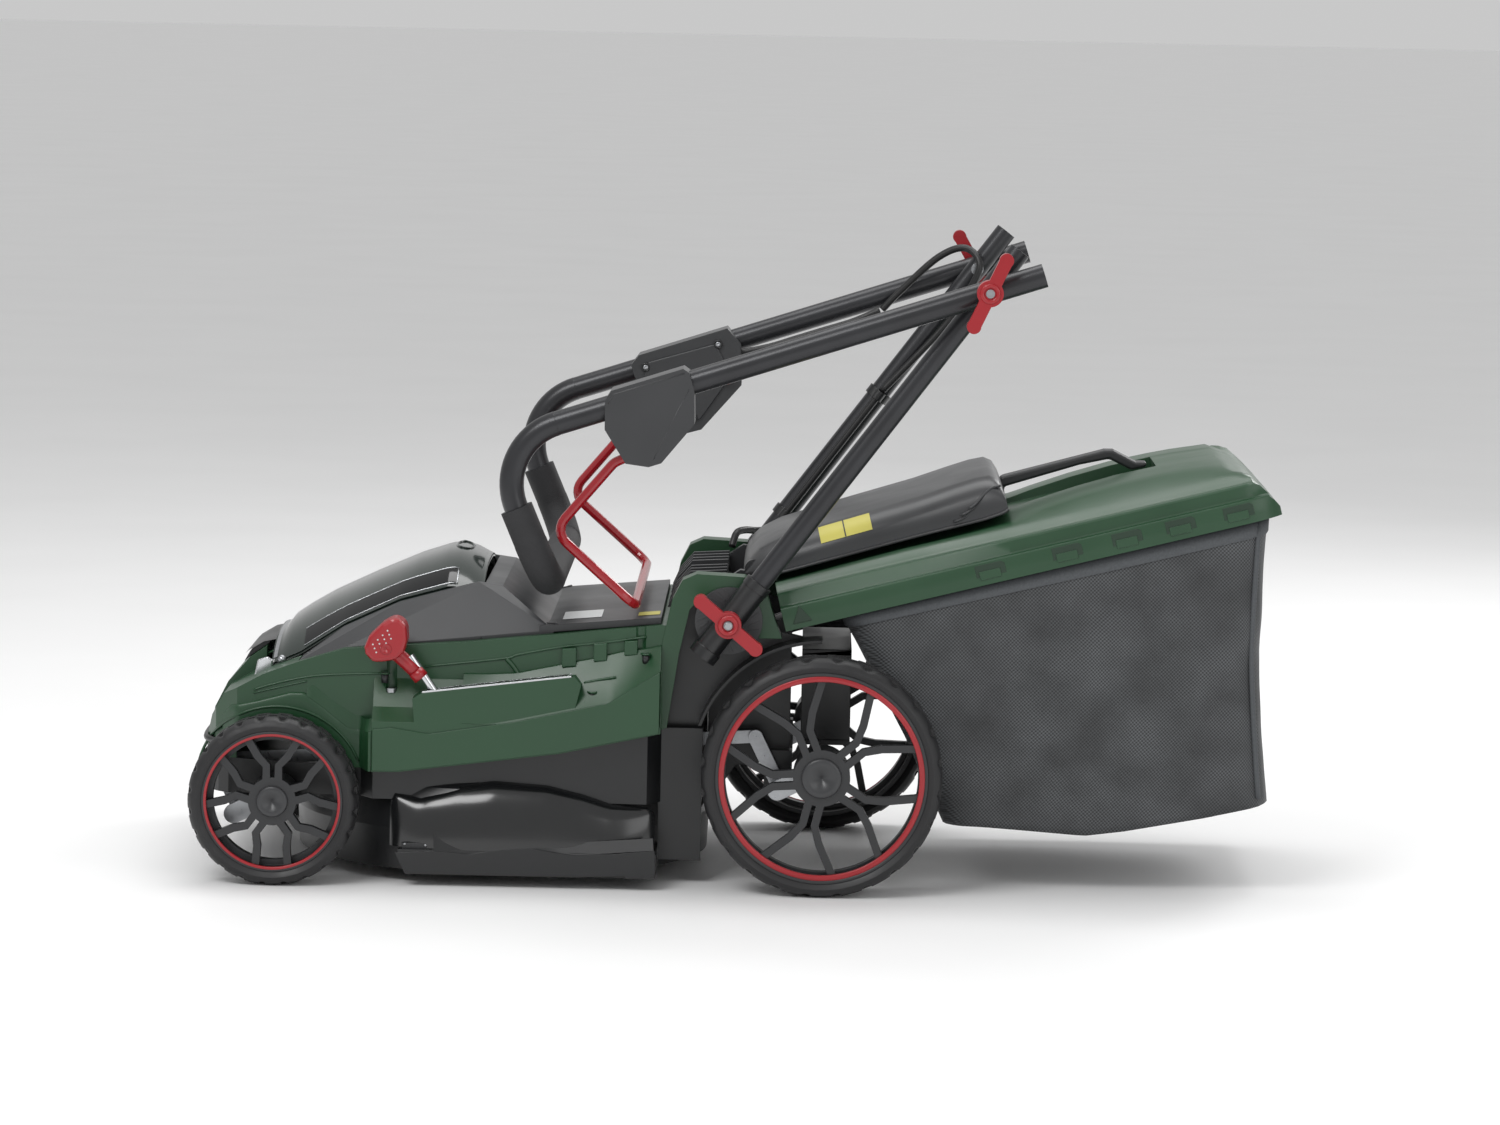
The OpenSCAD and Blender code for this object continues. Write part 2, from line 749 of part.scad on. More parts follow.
module crank_axle(pivot, pin, wheel_at, outer_y) {
    color(steel) {
        cross_pin(pivot, -crank_y, 2 * crank_y, axle_r);
        both_sides() {
            strap(pivot, wheel_at, axle_r + 3, crank_y - crank_t / 2, crank_t);
            cross_pin(wheel_at, crank_y, outer_y - crank_y, axle_r);
        }
        strap(pivot, pin, axle_r + 0.8, -link_y - arm_t - 0.4, arm_t);
        cross_pin(pin, -link_y - 1, link_t + 2, 3.5);
    }
}

module front_axle() {
    crank_axle(front_pivot, front_pin, [fore(0), front_r], track_w / 2 - 12);
}

module rear_axle() {
    crank_axle(rear_pivot, rear_pin, [aft(0), rear_r], track_w / 2 - 12);
}

module height_link() {
    // Flat bar between the crank arms, with an upright ear and slot for the lever
    slot_gap = 0.6;
    color(steel) difference() {
        union() {
            strap(front_pin, rear_pin, 6, -link_y, link_t);
            strap([lever_pin.x, lever_pin.y - 15], [lever_pin.x, lever_pin.y + 14], 8, -link_y, link_t);
        }
        cross_pin(front_pin, -200, 200, 3.5 + running_gap);
        cross_pin(rear_pin, -200, 200, 3.5 + 0.4);
        translate([lever_pin.x - 3.5 - slot_gap, -200, lever_pin.y - 6])
            cube([7 + 2 * slot_gap, 200, 16]);
    }
}

function lever_at(r) = [lever_x - r * sin(lever_half), lever_z + r * cos(lever_half)];

module height_lever() {
    inner_y = -panel_w / 2 + 30;
    color(steel) {
        // Shaft, the arm that moves the link, and the rod that comes up through the console
        cross_pin([lever_x, lever_z], inner_y, -link_y + link_t + 8 - inner_y, 5);
        strap([lever_x, lever_z], lever_pin, 6, -link_y + link_t + 0.8, 4);
        cross_pin(lever_pin, -link_y - 1, link_t + 3, 3.5);
        strap([lever_x, lever_z], lever_at(lever_jog), 6.5, inner_y, 5);
        cross_pin(lever_at(lever_jog), -lever_y - 4.4, lever_y + inner_y + 6.4, lever_rod_r + 0.8);
        rod([lever_at(lever_jog).x, -lever_y, lever_at(lever_jog).y],
            [lever_at(lever_tip - 24).x, -lever_y, lever_at(lever_tip - 24).y], lever_rod_r);
    }
}

module lever_grip() {
    // T-shaped grip on a round neck
    a = lever_at(lever_tip - 40);
    color(red) difference() {
        translate([a.x, -lever_y, a.y]) rotate([0, -lever_half, 0]) {
            cylinder(h = 20, r1 = 8, r2 = 9);
            translate([0, 0, 20]) cylinder(h = 14, r1 = 9, r2 = 14);
            translate([0, 15.5, 44]) rotate([90, 0, 0]) cylinder(h = 31, r = 13.5);
            translate([-21, -13, 35]) cube([42, 26, 18]);
        }
        rod([lever_x, -lever_y, lever_z],
            [lever_at(lever_tip - 24).x, -lever_y, lever_at(lever_tip - 24).y], lever_rod_r);
    }
}

// ---------------------------------------------------------------- handle

function along_lower(s) = [pivot_x + s * lower_dir.x, pivot_z + s * lower_dir.y];

module lower_tube() {
    a = along_lower(-20);
    b = along_lower(lower_tube_l + tube_past);
    difference() {
        rod([a.x, lower_y, a.y], [b.x, lower_y, b.y], lower_tube_d / 2);
        c = along_lower(lower_tube_l + tube_past - 40);
        d = along_lower(lower_tube_l + tube_past + 5);
        rod([c.x, lower_y, c.y], [d.x, lower_y, d.y], lower_tube_d / 2 - tube_wall);
        cross_pin([pivot_x, pivot_z], 100, 200, bolt_r);
        cross_pin([fold_x, fold_z], 100, 200, bolt_r);
    }
}

module tube_sockets() {
    // Sleeve over each lower tube's foot, with a collar above and a cap below
    color("#2c2c2e") both_sides() difference() {
        union() {
            for (part = [[-34, 72, socket_r], [38, 8, socket_r + 0.6], [-40, 10, socket_r + 1.4]]) {
                a = along_lower(part[0]);
                b = along_lower(part[0] + part[1]);
                rod([a.x, lower_y, a.y], [b.x, lower_y, b.y], part[2]);
            }
        }
        c = along_lower(-20);
        d = along_lower(60);
        rod([c.x, lower_y, c.y], [d.x, lower_y, d.y], lower_tube_d / 2);
        cross_pin([pivot_x, pivot_z], 100, 200, bolt_r);
        cross_pin([pivot_x, pivot_z], hump_w / 2 - 6, disc_t + 4.6, disc_r + 1.5);
    }
}

module pivot_bolts() {
    y0 = hump_w / 2 - hump_t + 4;
    color(steel) both_sides() {
        cross_pin([pivot_x, pivot_z], y0, lower_y + socket_r + 15 - y0, bolt_r);
        cross_pin([pivot_x, pivot_z], y0 - 3.6, 3.6, 8);
    }
}

module fold_bolts() {
    y0 = lower_y - lower_tube_d / 2 - 3;
    color(steel) both_sides() {
        cross_pin([fold_x, fold_z], y0, upper_y + upper_tube_d / 2 + 15 - y0, bolt_r - running_gap);
        cross_pin([fold_x, fold_z], y0 - 2.4, 2.4, 6);
    }
}

// Knob with two wings, drawn on the face at y, bored for its bolt
module wing_knob(at, y, turn) {
    color(red) difference() {
        translate([at.x, y, at.y]) rotate([-90, 0, 0]) {
            cylinder(h = 14, r = 12);
            rotate(turn) for (s = [-1, 1])
                translate([s * 21, 0, 5]) cube([26, 12, 10], center = true);
            rotate(turn) for (s = [-1, 1])
                translate([s * 33, 0, 0]) cylinder(h = 10, r = 6.5);
        }
        cross_pin(at, y - 1, 30, bolt_r + running_gap);
    }
}

// Place on the folded upper tube: s along it from the pivot, h above it
function along_upper(s, h) = [
    fold_x + s * -cos(upper_slope) + h * -sin(upper_slope),
    fold_z + s * -sin(upper_slope) + h * cos(upper_slope)
];

// One half of the upper tube: straight, bend, leg and bend. The bends are a hair thicker
// than the straights, whose ends sit inside them
module upper_path(r, grip_only) {
    corner = top_bend_r * tan(grip_bend / 2);
    lap = 1.2;
    thick = r + 0.2;
    translate([fold_x, upper_y, fold_z]) rotate([0, -upper_slope, 0]) mirror([1, 0, 0]) {
        if (!grip_only) {
            rod([-upper_past, 0, 0], [upper_reach - corner + lap, 0, 0], r);
            translate([upper_reach - corner, 0, -top_bend_r]) rotate([90, 0, 0])
                rotate([0, 0, 90 - grip_bend]) rotate_extrude(angle = grip_bend)
                    translate([top_bend_r, 0]) circle(r = thick);
        }
        translate([upper_reach, 0, 0]) rotate([0, grip_bend, 0]) {
            rod([corner - (grip_only ? 0 : lap), 0, 0], [leg_l - bend_r + lap, 0, 0], r);
            translate([leg_l - bend_r, -bend_r, 0])
                rotate_extrude(angle = 90) translate([bend_r, 0]) circle(r = thick);
        }
    }
}

// The grip's bar, straight across
module grip_bar(r) {
    p = along_upper(bar_u, bar_v);
    y = upper_y - bend_r + 1.2;
    cross_pin(p, -y, 2 * y, r);
}

module upper_tube() {
    color(dark_grey) difference() {
        union() {
            both_sides() upper_path(upper_tube_d / 2, false);
            grip_bar(upper_tube_d / 2);
        }
        both_sides() {
            a = along_upper(-upper_past - 5, 0);
            b = along_upper(-upper_past + 36, 0);
            rod([a.x, upper_y, a.y], [b.x, upper_y, b.y], upper_tube_d / 2 - tube_wall);
            cross_pin([fold_x, fold_z], 100, 200, bolt_r);
        }
    }
}

module foam_grip() {
    color("#262628") difference() {
        union() {
            both_sides() upper_path(grip_d / 2, true);
            grip_bar(grip_d / 2);
        }
        both_sides() upper_path(upper_tube_d / 2, false);
        grip_bar(upper_tube_d / 2);
    }
}

// Drawn in the upper tube's plane: x along the tube from the pivot, y above it
module on_upper(y, h) {
    translate([fold_x, 0, fold_z]) rotate([0, -upper_slope, 0]) mirror([1, 0, 0])
        upright(y, h) children();
}

module bracket_outline() {
    translate([bracket_at, 0]) polygon([
        [0, 10], [4, 15], [72, 15], [80, 8], [88, -17], [79, -52], [60, -61], [48, -61], [9, -36],
        [0, -6]
    ]);
}

module switch_outline() {
    translate([switch_at, 0]) polygon([
        [0, -4], [8, 15], [98, 15], [108, 8], [108, -4], [96, -40], [84, -71], [61, -72], [11, -42]
    ]);
}

// Room inside a box for the end of the bail, over its whole swing
module bail_room(side) {
    y = side * bail_y - bail_r - 0.8;
    on_upper(y, 2 * bail_r + 1.6) translate(bail_pivot) {
        circle(r = 22);
        rotate(-16) square([80, 16]);
        rotate(10) translate([0, -10]) square([80, 16]);
        rotate(-3) translate([0, -10]) square([80, 20]);
    }
    on_upper(side > 0 ? y : -upper_y - 3, upper_y + 3 - bail_y + bail_r + 0.8)
        translate(bail_pivot) circle(r = bail_hub_r + running_gap);
}

module bail_bracket() {
    color(dark_grey) difference() {
        on_upper(-upper_y - box_out, box_w) bracket_outline();
        tube_room(-1);
        bail_room(-1);
    }
}

module switch_box() {
    y0 = upper_y + box_out - box_w;
    color(dark_grey) difference() {
        on_upper(y0, box_w) switch_outline();
        tube_room(1);
        bail_room(1);
        // Well for the lock-off button
        on_upper(y0 - 1, 9) translate(button_at) circle(r = button_r + 0.4);
        // Gland for the cable
        on_upper(upper_in - 6, 12) translate([switch_at - 5, -18]) square([20, 12]);
    }
}
button_at = [switch_at + 22, -28];
button_r = 9;

module lock_button() {
    y0 = upper_y + box_out - box_w;
    color(red) on_upper(y0 - 6, 8) translate(button_at) circle(r = button_r);
}

// Channel for the upper tube on one side
module tube_room(side) {
    a = along_upper(100, 0);
    b = along_upper(400, 0);
    rod([a.x, side * upper_y, a.y], [b.x, side * upper_y, b.y], upper_tube_d / 2);
}

// A path with its corners rounded to a radius, each in n steps
function corner_arc(a, b, c, r, n) =
    let (u = unit(a - b), v = unit(c - b), half = acos(u * v) / 2, turn = 180 - 2 * half,
        mid = b + unit(u + v) * r / sin(half), p = b + u * r / tan(half) - mid,
        q = b + v * r / tan(half) - mid)
        [for (i = [0 : n]) mid + (p * sin((1 - i / n) * turn) + q * sin(i / n * turn)) / sin(turn)];
function rounded(pts, r, n) = concat(
    [pts[0]],
    [for (i = [1 : len(pts) - 2]) each corner_arc(pts[i - 1], pts[i], pts[i + 1], r, n)],
    [pts[len(pts) - 1]]
);

// Bail: one bent rod across the handle, turning on a hub at each end
function on_plane(u, v, y) = [along_upper(u, v).x, y, along_upper(u, v).y];
bail_side = [[0, 0], [46, -6], [117, -50], [66, -137]];
bail_line = concat(
    [for (p = bail_side) on_plane(bail_pivot.x + p.x, bail_pivot.y + p.y, -bail_y)],
    [for (i = [len(bail_side) - 1 : -1 : 0])
        on_plane(bail_pivot.x + bail_side[i].x, bail_pivot.y + bail_side[i].y, bail_y)]
);
module bail() {
    p = along_upper(bail_pivot.x, bail_pivot.y);
    color(red) {
        cable(rounded(bail_line, 16, 6), bail_r, 12);
        both_sides() cross_pin(p, bail_y - bail_r - 0.5, upper_y + 2.5 - bail_y + bail_r, bail_hub_r);
    }
}

// ---------------------------------------------------------------- cable

// Route down the right-hand side: box, upper tube, loop at the fold, lower tube, hump
lower_in = lower_y - lower_tube_d / 2 - cable_r - 0.5;
upper_in = upper_y - upper_tube_d / 2 - cable_r - 0.5;
function on_lower_side(s, h) = [
    pivot_x + s * lower_dir.x - h * lower_dir.y, lower_in, pivot_z + s * lower_dir.y + h * lower_dir.x
];
upper_cable_route = [
    for (u = [switch_at + 6, 215, 190, 160, 130, 102])
        let (sag = u > 110 && u < 240 ? 3 : 0)
            [along_upper(u, -12 - sag).x, upper_in, along_upper(u, -12 - sag).y]
];
loop_start = on_plane(99.6, -12, upper_in);
loop_end = on_lower_side(232, 0);
loop_route = [
    loop_start, on_plane(78, 0, upper_in - 2), [fold_x - 38, upper_in - 8, fold_z + 10],
    [fold_x - 12, upper_in - 16, fold_z + 20], [fold_x + 2, lower_in - 9, fold_z + 4],
    [fold_x - 12, lower_in - 7, fold_z - 28], [fold_x - 34, lower_in - 3, fold_z - 60], loop_end
];
tail_start = on_lower_side(74, 0);
lower_cable_route = [
    loop_end, on_lower_side(190, 0), on_lower_side(150, 0), on_lower_side(110, 0), tail_start
];
gland = [pivot_x - 2, hump_w / 2 - hump_t - 24, pivot_z + 38];
tail_route = [
    tail_start, on_lower_side(62, 1) + [0, -2, 0], [pivot_x + 22, lower_in - 14, pivot_z + 50],
    [pivot_x + 10, lower_in - 30, pivot_z + 52], [pivot_x + 2, gland.y + 8, pivot_z + 50], gland
];

module cable_clips() {
    color(black) for (s = [76, 224]) difference() {
        a = on_lower_side(s, 0);
        b = on_lower_side(s + 9, 0);
        union() {
            rod([a.x, lower_y, a.z], [b.x, lower_y, b.z], lower_tube_d / 2 + 2);
            rod(a, b, cable_r + 2);
        }
        rod([a.x - 5 * lower_dir.x, lower_y, a.z - 5 * lower_dir.y],
            [b.x + 5 * lower_dir.x, lower_y, b.z + 5 * lower_dir.y], lower_tube_d / 2);
        rod(on_lower_side(s - 5, 0), on_lower_side(s + 14, 0), cable_r + 0.3);
    }
}

// ---------------------------------------------------------------- flap and bag

// Bag and flap are drawn on the slope that the lid has: u along it, v up from it
slope_from = [aft(-36), 240];
module on_slope(y, h) {
    translate([slope_from.x, 0, slope_from.y]) rotate([0, -bag_slope, 0]) upright(y, h) children();
}
bag_l = (bag_back_x - slope_from.x) / cos(bag_slope);

module bag_lid_shape(t) {
    half = bag_w / 2 - t;
    // Band along the lower edge
    on_slope(-half, 2 * half) polygon([
        [t, -2], [bag_l - 16 - t, -2], [bag_l - 12 - t, 8], [bag_l - 22 - t, 21], [t, 21]
    ]);
    hull() {
        on_slope(-half + 5, 2 * half - 10)
            polygon([[t, 20], [bag_l - 18 - t, 20], [bag_l - 36 - t, 36 - t], [t, 36 - t]]);
        on_slope(-half + 14, 2 * half - 28) polygon([
            [t, 20], [bag_l - 10 - t, 20], [bag_l - 30 - t, 45 - t], [200, 48 - t], [t, 42 - t]
        ]);
        on_slope(-half + 34, 2 * half - 68) polygon([
            [t, 20], [bag_l - 6 - t, 16], [bag_l - 20 - t, 38 - t], [bag_l - 42 - t, 53 - t],
            [320, 58 - t], [t, 42 - t]
        ]);
    }
}

// Hand pocket in the lid, below the carrying handle
pocket = [216, 372];
pocket_w = 92;
pocket_v = 44;

module bag_lid() {
    color(green) difference() {
        bag_lid_shape(0);
        difference() {
            translate([0, 0, -0.5]) bag_lid_shape(wall);
            // Walls and floor of the hand pocket
            on_slope(-pocket_w / 2, pocket_w)
                translate([pocket[0], pocket_v - wall]) square([pocket[1] - pocket[0], 60]);
        }
        on_slope(-bag_w / 2 + wall, bag_w - 2 * wall) translate([wall, -10]) square([bag_l - 26, 24]);
        on_slope(-pocket_w / 2 + wall, pocket_w - 2 * wall)
            translate([pocket[0] + wall, pocket_v]) square([pocket[1] - pocket[0] - 2 * wall, 60]);
        // Inlet below the flap
        on_slope(-mouth_w / 2, mouth_w) translate([-10, 5]) square([60, 80]);
    }
}

module bag_handle() {
    // Bar over the pocket, its front end on the pocket's rim and its back foot on the floor
    color(black) on_slope(-10, 20) polygon([
        [224, pocket_v], [236, pocket_v], [236, 63], [322, 63], [346, pocket_v], [360, pocket_v],
        [360, 50], [330, 76], [224, 76]
    ]);
}

module bag_shape(t) {
    half = bag_w / 2 - 6 - t;
    x0 = aft(2);
    low = bag_floor + t;
    upright(-half, 2 * half) polygon([
        [x0 + t, 212 - t], [aft(113) + t, low], [aft(283) + t, low], [bag_back_x - 10 - t, low + 28],
        [bag_back_x - t, low + 40], [bag_back_x - 8 - t, 400], [x0 + t, 300]
    ]);
    upright(-mouth_w / 2 + 8 + t, mouth_w - 16 - 2 * t) polygon([
        [aft(-22) + t, 260], [aft(-22) + t, rear_pivot.y + 26 + t], [aft(56), rear_pivot.y + 26 + t],
        [aft(40), 260]
    ]);
}

module bag_fabric() {
    color("#202022") difference() {
        intersection() {
            bag_shape(0);
            below_lid();
        }
        intersection() {
            bag_shape(2.5);
            below_lid();
        }
        // Open top and mouth
        translate([aft(-60), -mouth_w / 2 + 12, rear_pivot.y + 34]) cube([70, mouth_w - 24, 84]);
    }
}

module below_lid() {
    on_slope(-300, 600) polygon([[-60, -2], [bag_l + 60, -2], [bag_l + 60, -400], [-60, -400]]);
}

module flap_shape(t) {
    w = flap_w - 2 * t;
    hull() {
        on_slope(-w / 2, w) polygon([
            [-14 + t, 45], [204 - t, 55], [216 - t, 56], [216 - t, 62 - t], [200 - t, 64 - t],
            [-10 + t, 56 - t]
        ]);
        on_slope(-w / 2 + 34, w - 68) polygon([
            [-26 + t, 52], [214 - t, 56], [216 - t, 78 - t], [208 - t, 88 - t], [186 - t, 88 - t],
            [60, 79 - t], [6, 76 - t], [-14 + t, 68 - t]
        ]);
    }
}

module rear_flap() {
    color(dark_grey) difference() {
        union() {
            flap_shape(0);
            for (y = [-flap_w / 2 + 36, -20, flap_w / 2 - 56])
                cross_pin(flap_pin, y, 20, 7.5);
        }
        translate([0, 0, -wall]) flap_shape(wall);
        // Gaps round the hinge pin and its knuckles
        cross_pin(flap_pin, -300, 600, flap_pin_r + running_gap);
        both_sides() cross_pin(flap_pin, flap_w / 2 - 20, 12, 11);
    }
}

// ---------------------------------------------------------------- blade

module blade() {
    half = cut_d / 2 - 2;
    chord = 24;
    color(steel) translate([blade_x, 0, blade_z]) difference() {
        union() {
            linear_extrude(height = 3) polygon([
                [-half, chord], [-half, -4], [-half + 70, -chord], [half, -chord], [half, 4],
                [half - 70, chord]
            ]);
            for (a = [0, 180]) rotate(a) translate([half - 58, -chord, 2]) cube([50, 5, 9]);
        }
        translate([0, 0, -1]) cylinder(h = 10, r = shaft_r);
    }
}

module blade_carrier() {
    top = chamber_top + 4 + 44;
    color("#8d9093") translate([blade_x, 0, 0]) {
        translate([0, 0, blade_z + 3]) cylinder(h = 18, r = 26);
        translate([0, 0, blade_z + 21]) cylinder(h = top - blade_z - 21, r = shaft_r);
        translate([0, 0, blade_z - 12]) cylinder(h = 24, r = shaft_r);
        translate([0, 0, blade_z - 8]) cylinder(h = 8, r = 14);
    }
}

blade_housing();
discharge_chute();
deck_cover();
motor_hood();
battery_tray();
battery_packs();
motor();
height_plate();
rear_frames();
handle_discs();
hinge_cradle();
flap_hinge_pin();
front_grip();
axle_clamps();
cover_screws();
color(dark_grey) mirror([0, 1, 0]) lower_tube();  // lower_tube_left
color(dark_grey) lower_tube();  // lower_tube_right
tube_sockets();
pivot_bolts();
color(black) cable(smooth(lower_cable_route, 3), cable_r);  // lower_cable
cable_clips();
color(black) cable(smooth(tail_route, 4), cable_r);  // cable_tail
color(black) cable(smooth(loop_route, 4), cable_r);  // cable_loop
upper_tube();
foam_grip();
bail_bracket();
switch_box();
fold_bolts();
color(black) cable(smooth(upper_cable_route, 3), cable_r);  // upper_cable
bail();
lock_button();
wing_knob([pivot_x, pivot_z], -lower_y - socket_r - 14, 40);  // pivot_knob_left
wing_knob([pivot_x, pivot_z], lower_y + socket_r, 40);  // pivot_knob_right
wing_knob([fold_x, fold_z], -upper_y - upper_tube_d / 2 - 14, 115);  // fold_knob_left
wing_knob([fold_x, fold_z], upper_y + upper_tube_d / 2, 60);  // fold_knob_right
color(dark_grey) wheel_place(true, -1) tyre(front_r);  // front_tyre_left
color(dark_grey) wheel_place(true, 1) tyre(front_r);  // front_tyre_right
color(dark_grey) wheel_place(false, -1) tyre(rear_r);  // rear_tyre_left
color(dark_grey) wheel_place(false, 1) tyre(rear_r);  // rear_tyre_right
color(black) wheel_place(true, -1) rim(front_r, 22, 90);  // front_rim_left
color(black) wheel_place(true, 1) rim(front_r, 22, 90);  // front_rim_right
color(black) wheel_place(false, -1) rim(rear_r, 26, 112);  // rear_rim_left
color(black) wheel_place(false, 1) rim(rear_r, 26, 112);  // rear_rim_right
color(black) wheel_place(true, -1) hub_cap(22);  // front_cap_left
color(black) wheel_place(true, 1) hub_cap(22);  // front_cap_right
color(black) wheel_place(false, -1) hub_cap(26);  // rear_cap_left
color(black) wheel_place(false, 1) hub_cap(26);  // rear_cap_right
front_axle();
rear_axle();
height_link();
height_lever();
lever_grip();
battery_lid();
rear_flap();
bag_lid();
bag_handle();
bag_fabric();
blade();
blade_carrier();
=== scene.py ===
import math

import bmesh
import bpy
from mathutils import Matrix, Vector, noise


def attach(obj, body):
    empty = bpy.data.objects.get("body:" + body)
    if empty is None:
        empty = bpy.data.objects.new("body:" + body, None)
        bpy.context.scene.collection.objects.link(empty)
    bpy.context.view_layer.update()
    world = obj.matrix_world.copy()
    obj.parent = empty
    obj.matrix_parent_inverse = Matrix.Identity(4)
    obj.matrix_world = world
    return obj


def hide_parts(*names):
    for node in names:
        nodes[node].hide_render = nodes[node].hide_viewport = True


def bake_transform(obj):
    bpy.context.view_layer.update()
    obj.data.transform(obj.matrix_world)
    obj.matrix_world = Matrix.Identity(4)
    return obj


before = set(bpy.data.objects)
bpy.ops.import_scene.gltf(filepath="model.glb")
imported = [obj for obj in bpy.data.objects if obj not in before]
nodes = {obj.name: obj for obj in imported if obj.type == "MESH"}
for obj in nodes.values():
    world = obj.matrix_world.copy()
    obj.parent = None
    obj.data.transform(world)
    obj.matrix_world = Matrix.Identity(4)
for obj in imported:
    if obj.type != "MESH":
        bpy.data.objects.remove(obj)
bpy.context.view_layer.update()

# ------------------------------------------------------------------ places, in metres

FRONT_AXLE_X, REAR_AXLE_X = -0.419, 0.081
FRONT_R, REAR_R = 0.0775, 0.110
TYRE_W, TYRE_H = 0.045, 0.013
TYRE_Y = 0.1925
FOLD = Vector((0.222488, 0, 0.554882))
PIVOT = Vector((-0.007, 0, 0.247))
LOWER_SLOPE = math.radians(53.3)
UPPER_SLOPE = math.radians(18.133)
BAG_SLOPE = math.radians(14.5)
SLOPE_FROM = Vector((0.045, 0, 0.240))
BAG_HALF = 0.163
SIDES = (("left", -1), ("right", 1))


def from_rear(x, y, z):
    """A point given in mm, x from the rear axle."""
    return Vector((REAR_AXLE_X + x / 1000, y / 1000, z / 1000))


def beside(side, y):
    """Places an outline's (a, b) upright at y on one side of the mower, with its depth outwards."""
    return lambda a, b, d: from_rear(a, side * (y + d), b)


def on_bag_side(side, y):
    """Places an outline's (a, b) along the bag's lid at y on one side, with its depth outwards."""
    return lambda a, b, d: on_bag_slope(a, side * (y + d), b)


def on_bag_slope(u, y, v):
    """A place on the bag's sloping lid: u along it, v up from it, all in mm."""
    c, s = math.cos(BAG_SLOPE), math.sin(BAG_SLOPE)
    return Vector((SLOPE_FROM.x + (u * c - v * s) / 1000, y / 1000, SLOPE_FROM.z + (u * s + v * c) / 1000))


def on_upper(u, y, v):
    """A place by the folded upper tube: u from the fold pivot towards the grip, v above it, in mm."""
    c, s = math.cos(UPPER_SLOPE), math.sin(UPPER_SLOPE)
    return Vector((FOLD.x - (u * c + v * s) / 1000, y / 1000, FOLD.z + (v * c - u * s) / 1000))


def on_lower(u, y, v):
    """A place by the lower tube: u up from its pivot, v above it, in mm."""
    c, s = math.cos(LOWER_SLOPE), math.sin(LOWER_SLOPE)
    return Vector((PIVOT.x + (u * c - v * s) / 1000, y / 1000, PIVOT.z + (u * s + v * c) / 1000))


# ------------------------------------------------------------------ camera and light


def make_camera():
    """Long lens a little above the mower's height, turned and rolled slightly."""
    data = bpy.data.cameras.new("camera")
    data.sensor_width, data.lens = 36.0, 126.49
    data.clip_start, data.clip_end = 0.1, 60.0
    cam = bpy.data.objects.new("camera", data)
    bpy.context.scene.collection.objects.link(cam)
    yaw, pitch, roll = -0.0096624, 0.1137828, 0.0211036
    flat = Vector((math.sin(yaw), math.cos(yaw), 0))
    right = Vector((math.cos(yaw), -math.sin(yaw), 0))
    up = Vector((0, 0, 1))
    ahead = flat * math.cos(pitch) - up * math.sin(pitch)
    lifted = up * math.cos(pitch) + flat * math.sin(pitch)
    across = right * math.cos(roll) + lifted * math.sin(roll)
    upright = lifted * math.cos(roll) - right * math.sin(roll)
    turn = Matrix((across, upright, -ahead)).transposed().to_4x4()
    cam.matrix_world = Matrix.Translation((0.05752, -4.94823, 0.84787)) @ turn
    bpy.context.scene.camera = cam


def area_light(name, place, aim, size, watts, tint=(1, 1, 1)):
    data = bpy.data.lights.new(name, "AREA")
    data.shape = "RECTANGLE"
    data.size, data.size_y = size
    data.energy, data.color = watts, tint
    lamp = bpy.data.objects.new(name, data)
    bpy.context.scene.collection.objects.link(lamp)
    lamp.location = place
    lamp.rotation_mode = "QUATERNION"
    lamp.rotation_quaternion = (Vector(aim) - Vector(place)).to_track_quat("-Z", "Y")


def make_lights():
    """Four soft boxes under an even white sky."""
    area_light("key", (-1.3, -2.0, 2.6), (0, 0, 0.25), (1.6, 1.0), 40)
    area_light("fill", (1.8, -2.6, 1.2), (0, 0, 0.25), (1.6, 1.6), 12)
    area_light("top", (0.1, 0.5, 2.8), (0, 0, 0.2), (2.2, 1.4), 34)
    area_light("rim", (1.6, 2.0, 1.7), (0.1, 0, 0.35), (1.2, 1.0), 20)
    world = bpy.data.worlds.new("studio")
    bpy.context.scene.world = world
    world.use_nodes = True
    world.node_tree.nodes["Background"].inputs["Color"].default_value = (1, 1, 1, 1)
    world.node_tree.nodes["Background"].inputs["Strength"].default_value = 0.58
    bpy.context.scene.view_settings.view_transform = "Standard"


# ------------------------------------------------------------------ materials


def linear(code):
    """sRGB hex to the linear colour that a shader takes."""
    parts = [int(code[i : i + 2], 16) / 255 for i in (1, 3, 5)]
    return [p / 12.92 if p <= 0.04045 else ((p + 0.055) / 1.055) ** 2.4 for p in parts] + [1]


def new_material(name):
    """A material with its tree and its surface shader."""
    mat = bpy.data.materials.new(name)
    mat.use_nodes = True
    return mat, mat.node_tree, mat.node_tree.nodes["Principled BSDF"]


def add(tree, kind, settings=None, **inputs):
    """One node: settings are its properties, inputs are values or sockets, by name or number."""
    node = tree.nodes.new(kind)
    for key, value in (settings or {}).items():
        setattr(node, key, value)
    for key, value in inputs.items():
        socket = node.inputs[int(key[1:])] if key[0] == "_" else node.inputs[key.replace("_", " ")]
        if isinstance(value, bpy.types.NodeSocket):
            tree.links.new(value, socket)
        else:
            socket.default_value = value
    return node


def place_mm(tree):
    """Object coordinates, which are metres, so a scale of 1000 / mm gives a period in mm."""
    return add(tree, "ShaderNodeTexCoord").outputs["Object"]


def soft_edges(tree, radius):
    """Normals that round every edge a little, in metres."""
    return add(tree, "ShaderNodeBevel", {"samples": 4}, Radius=radius).outputs["Normal"]


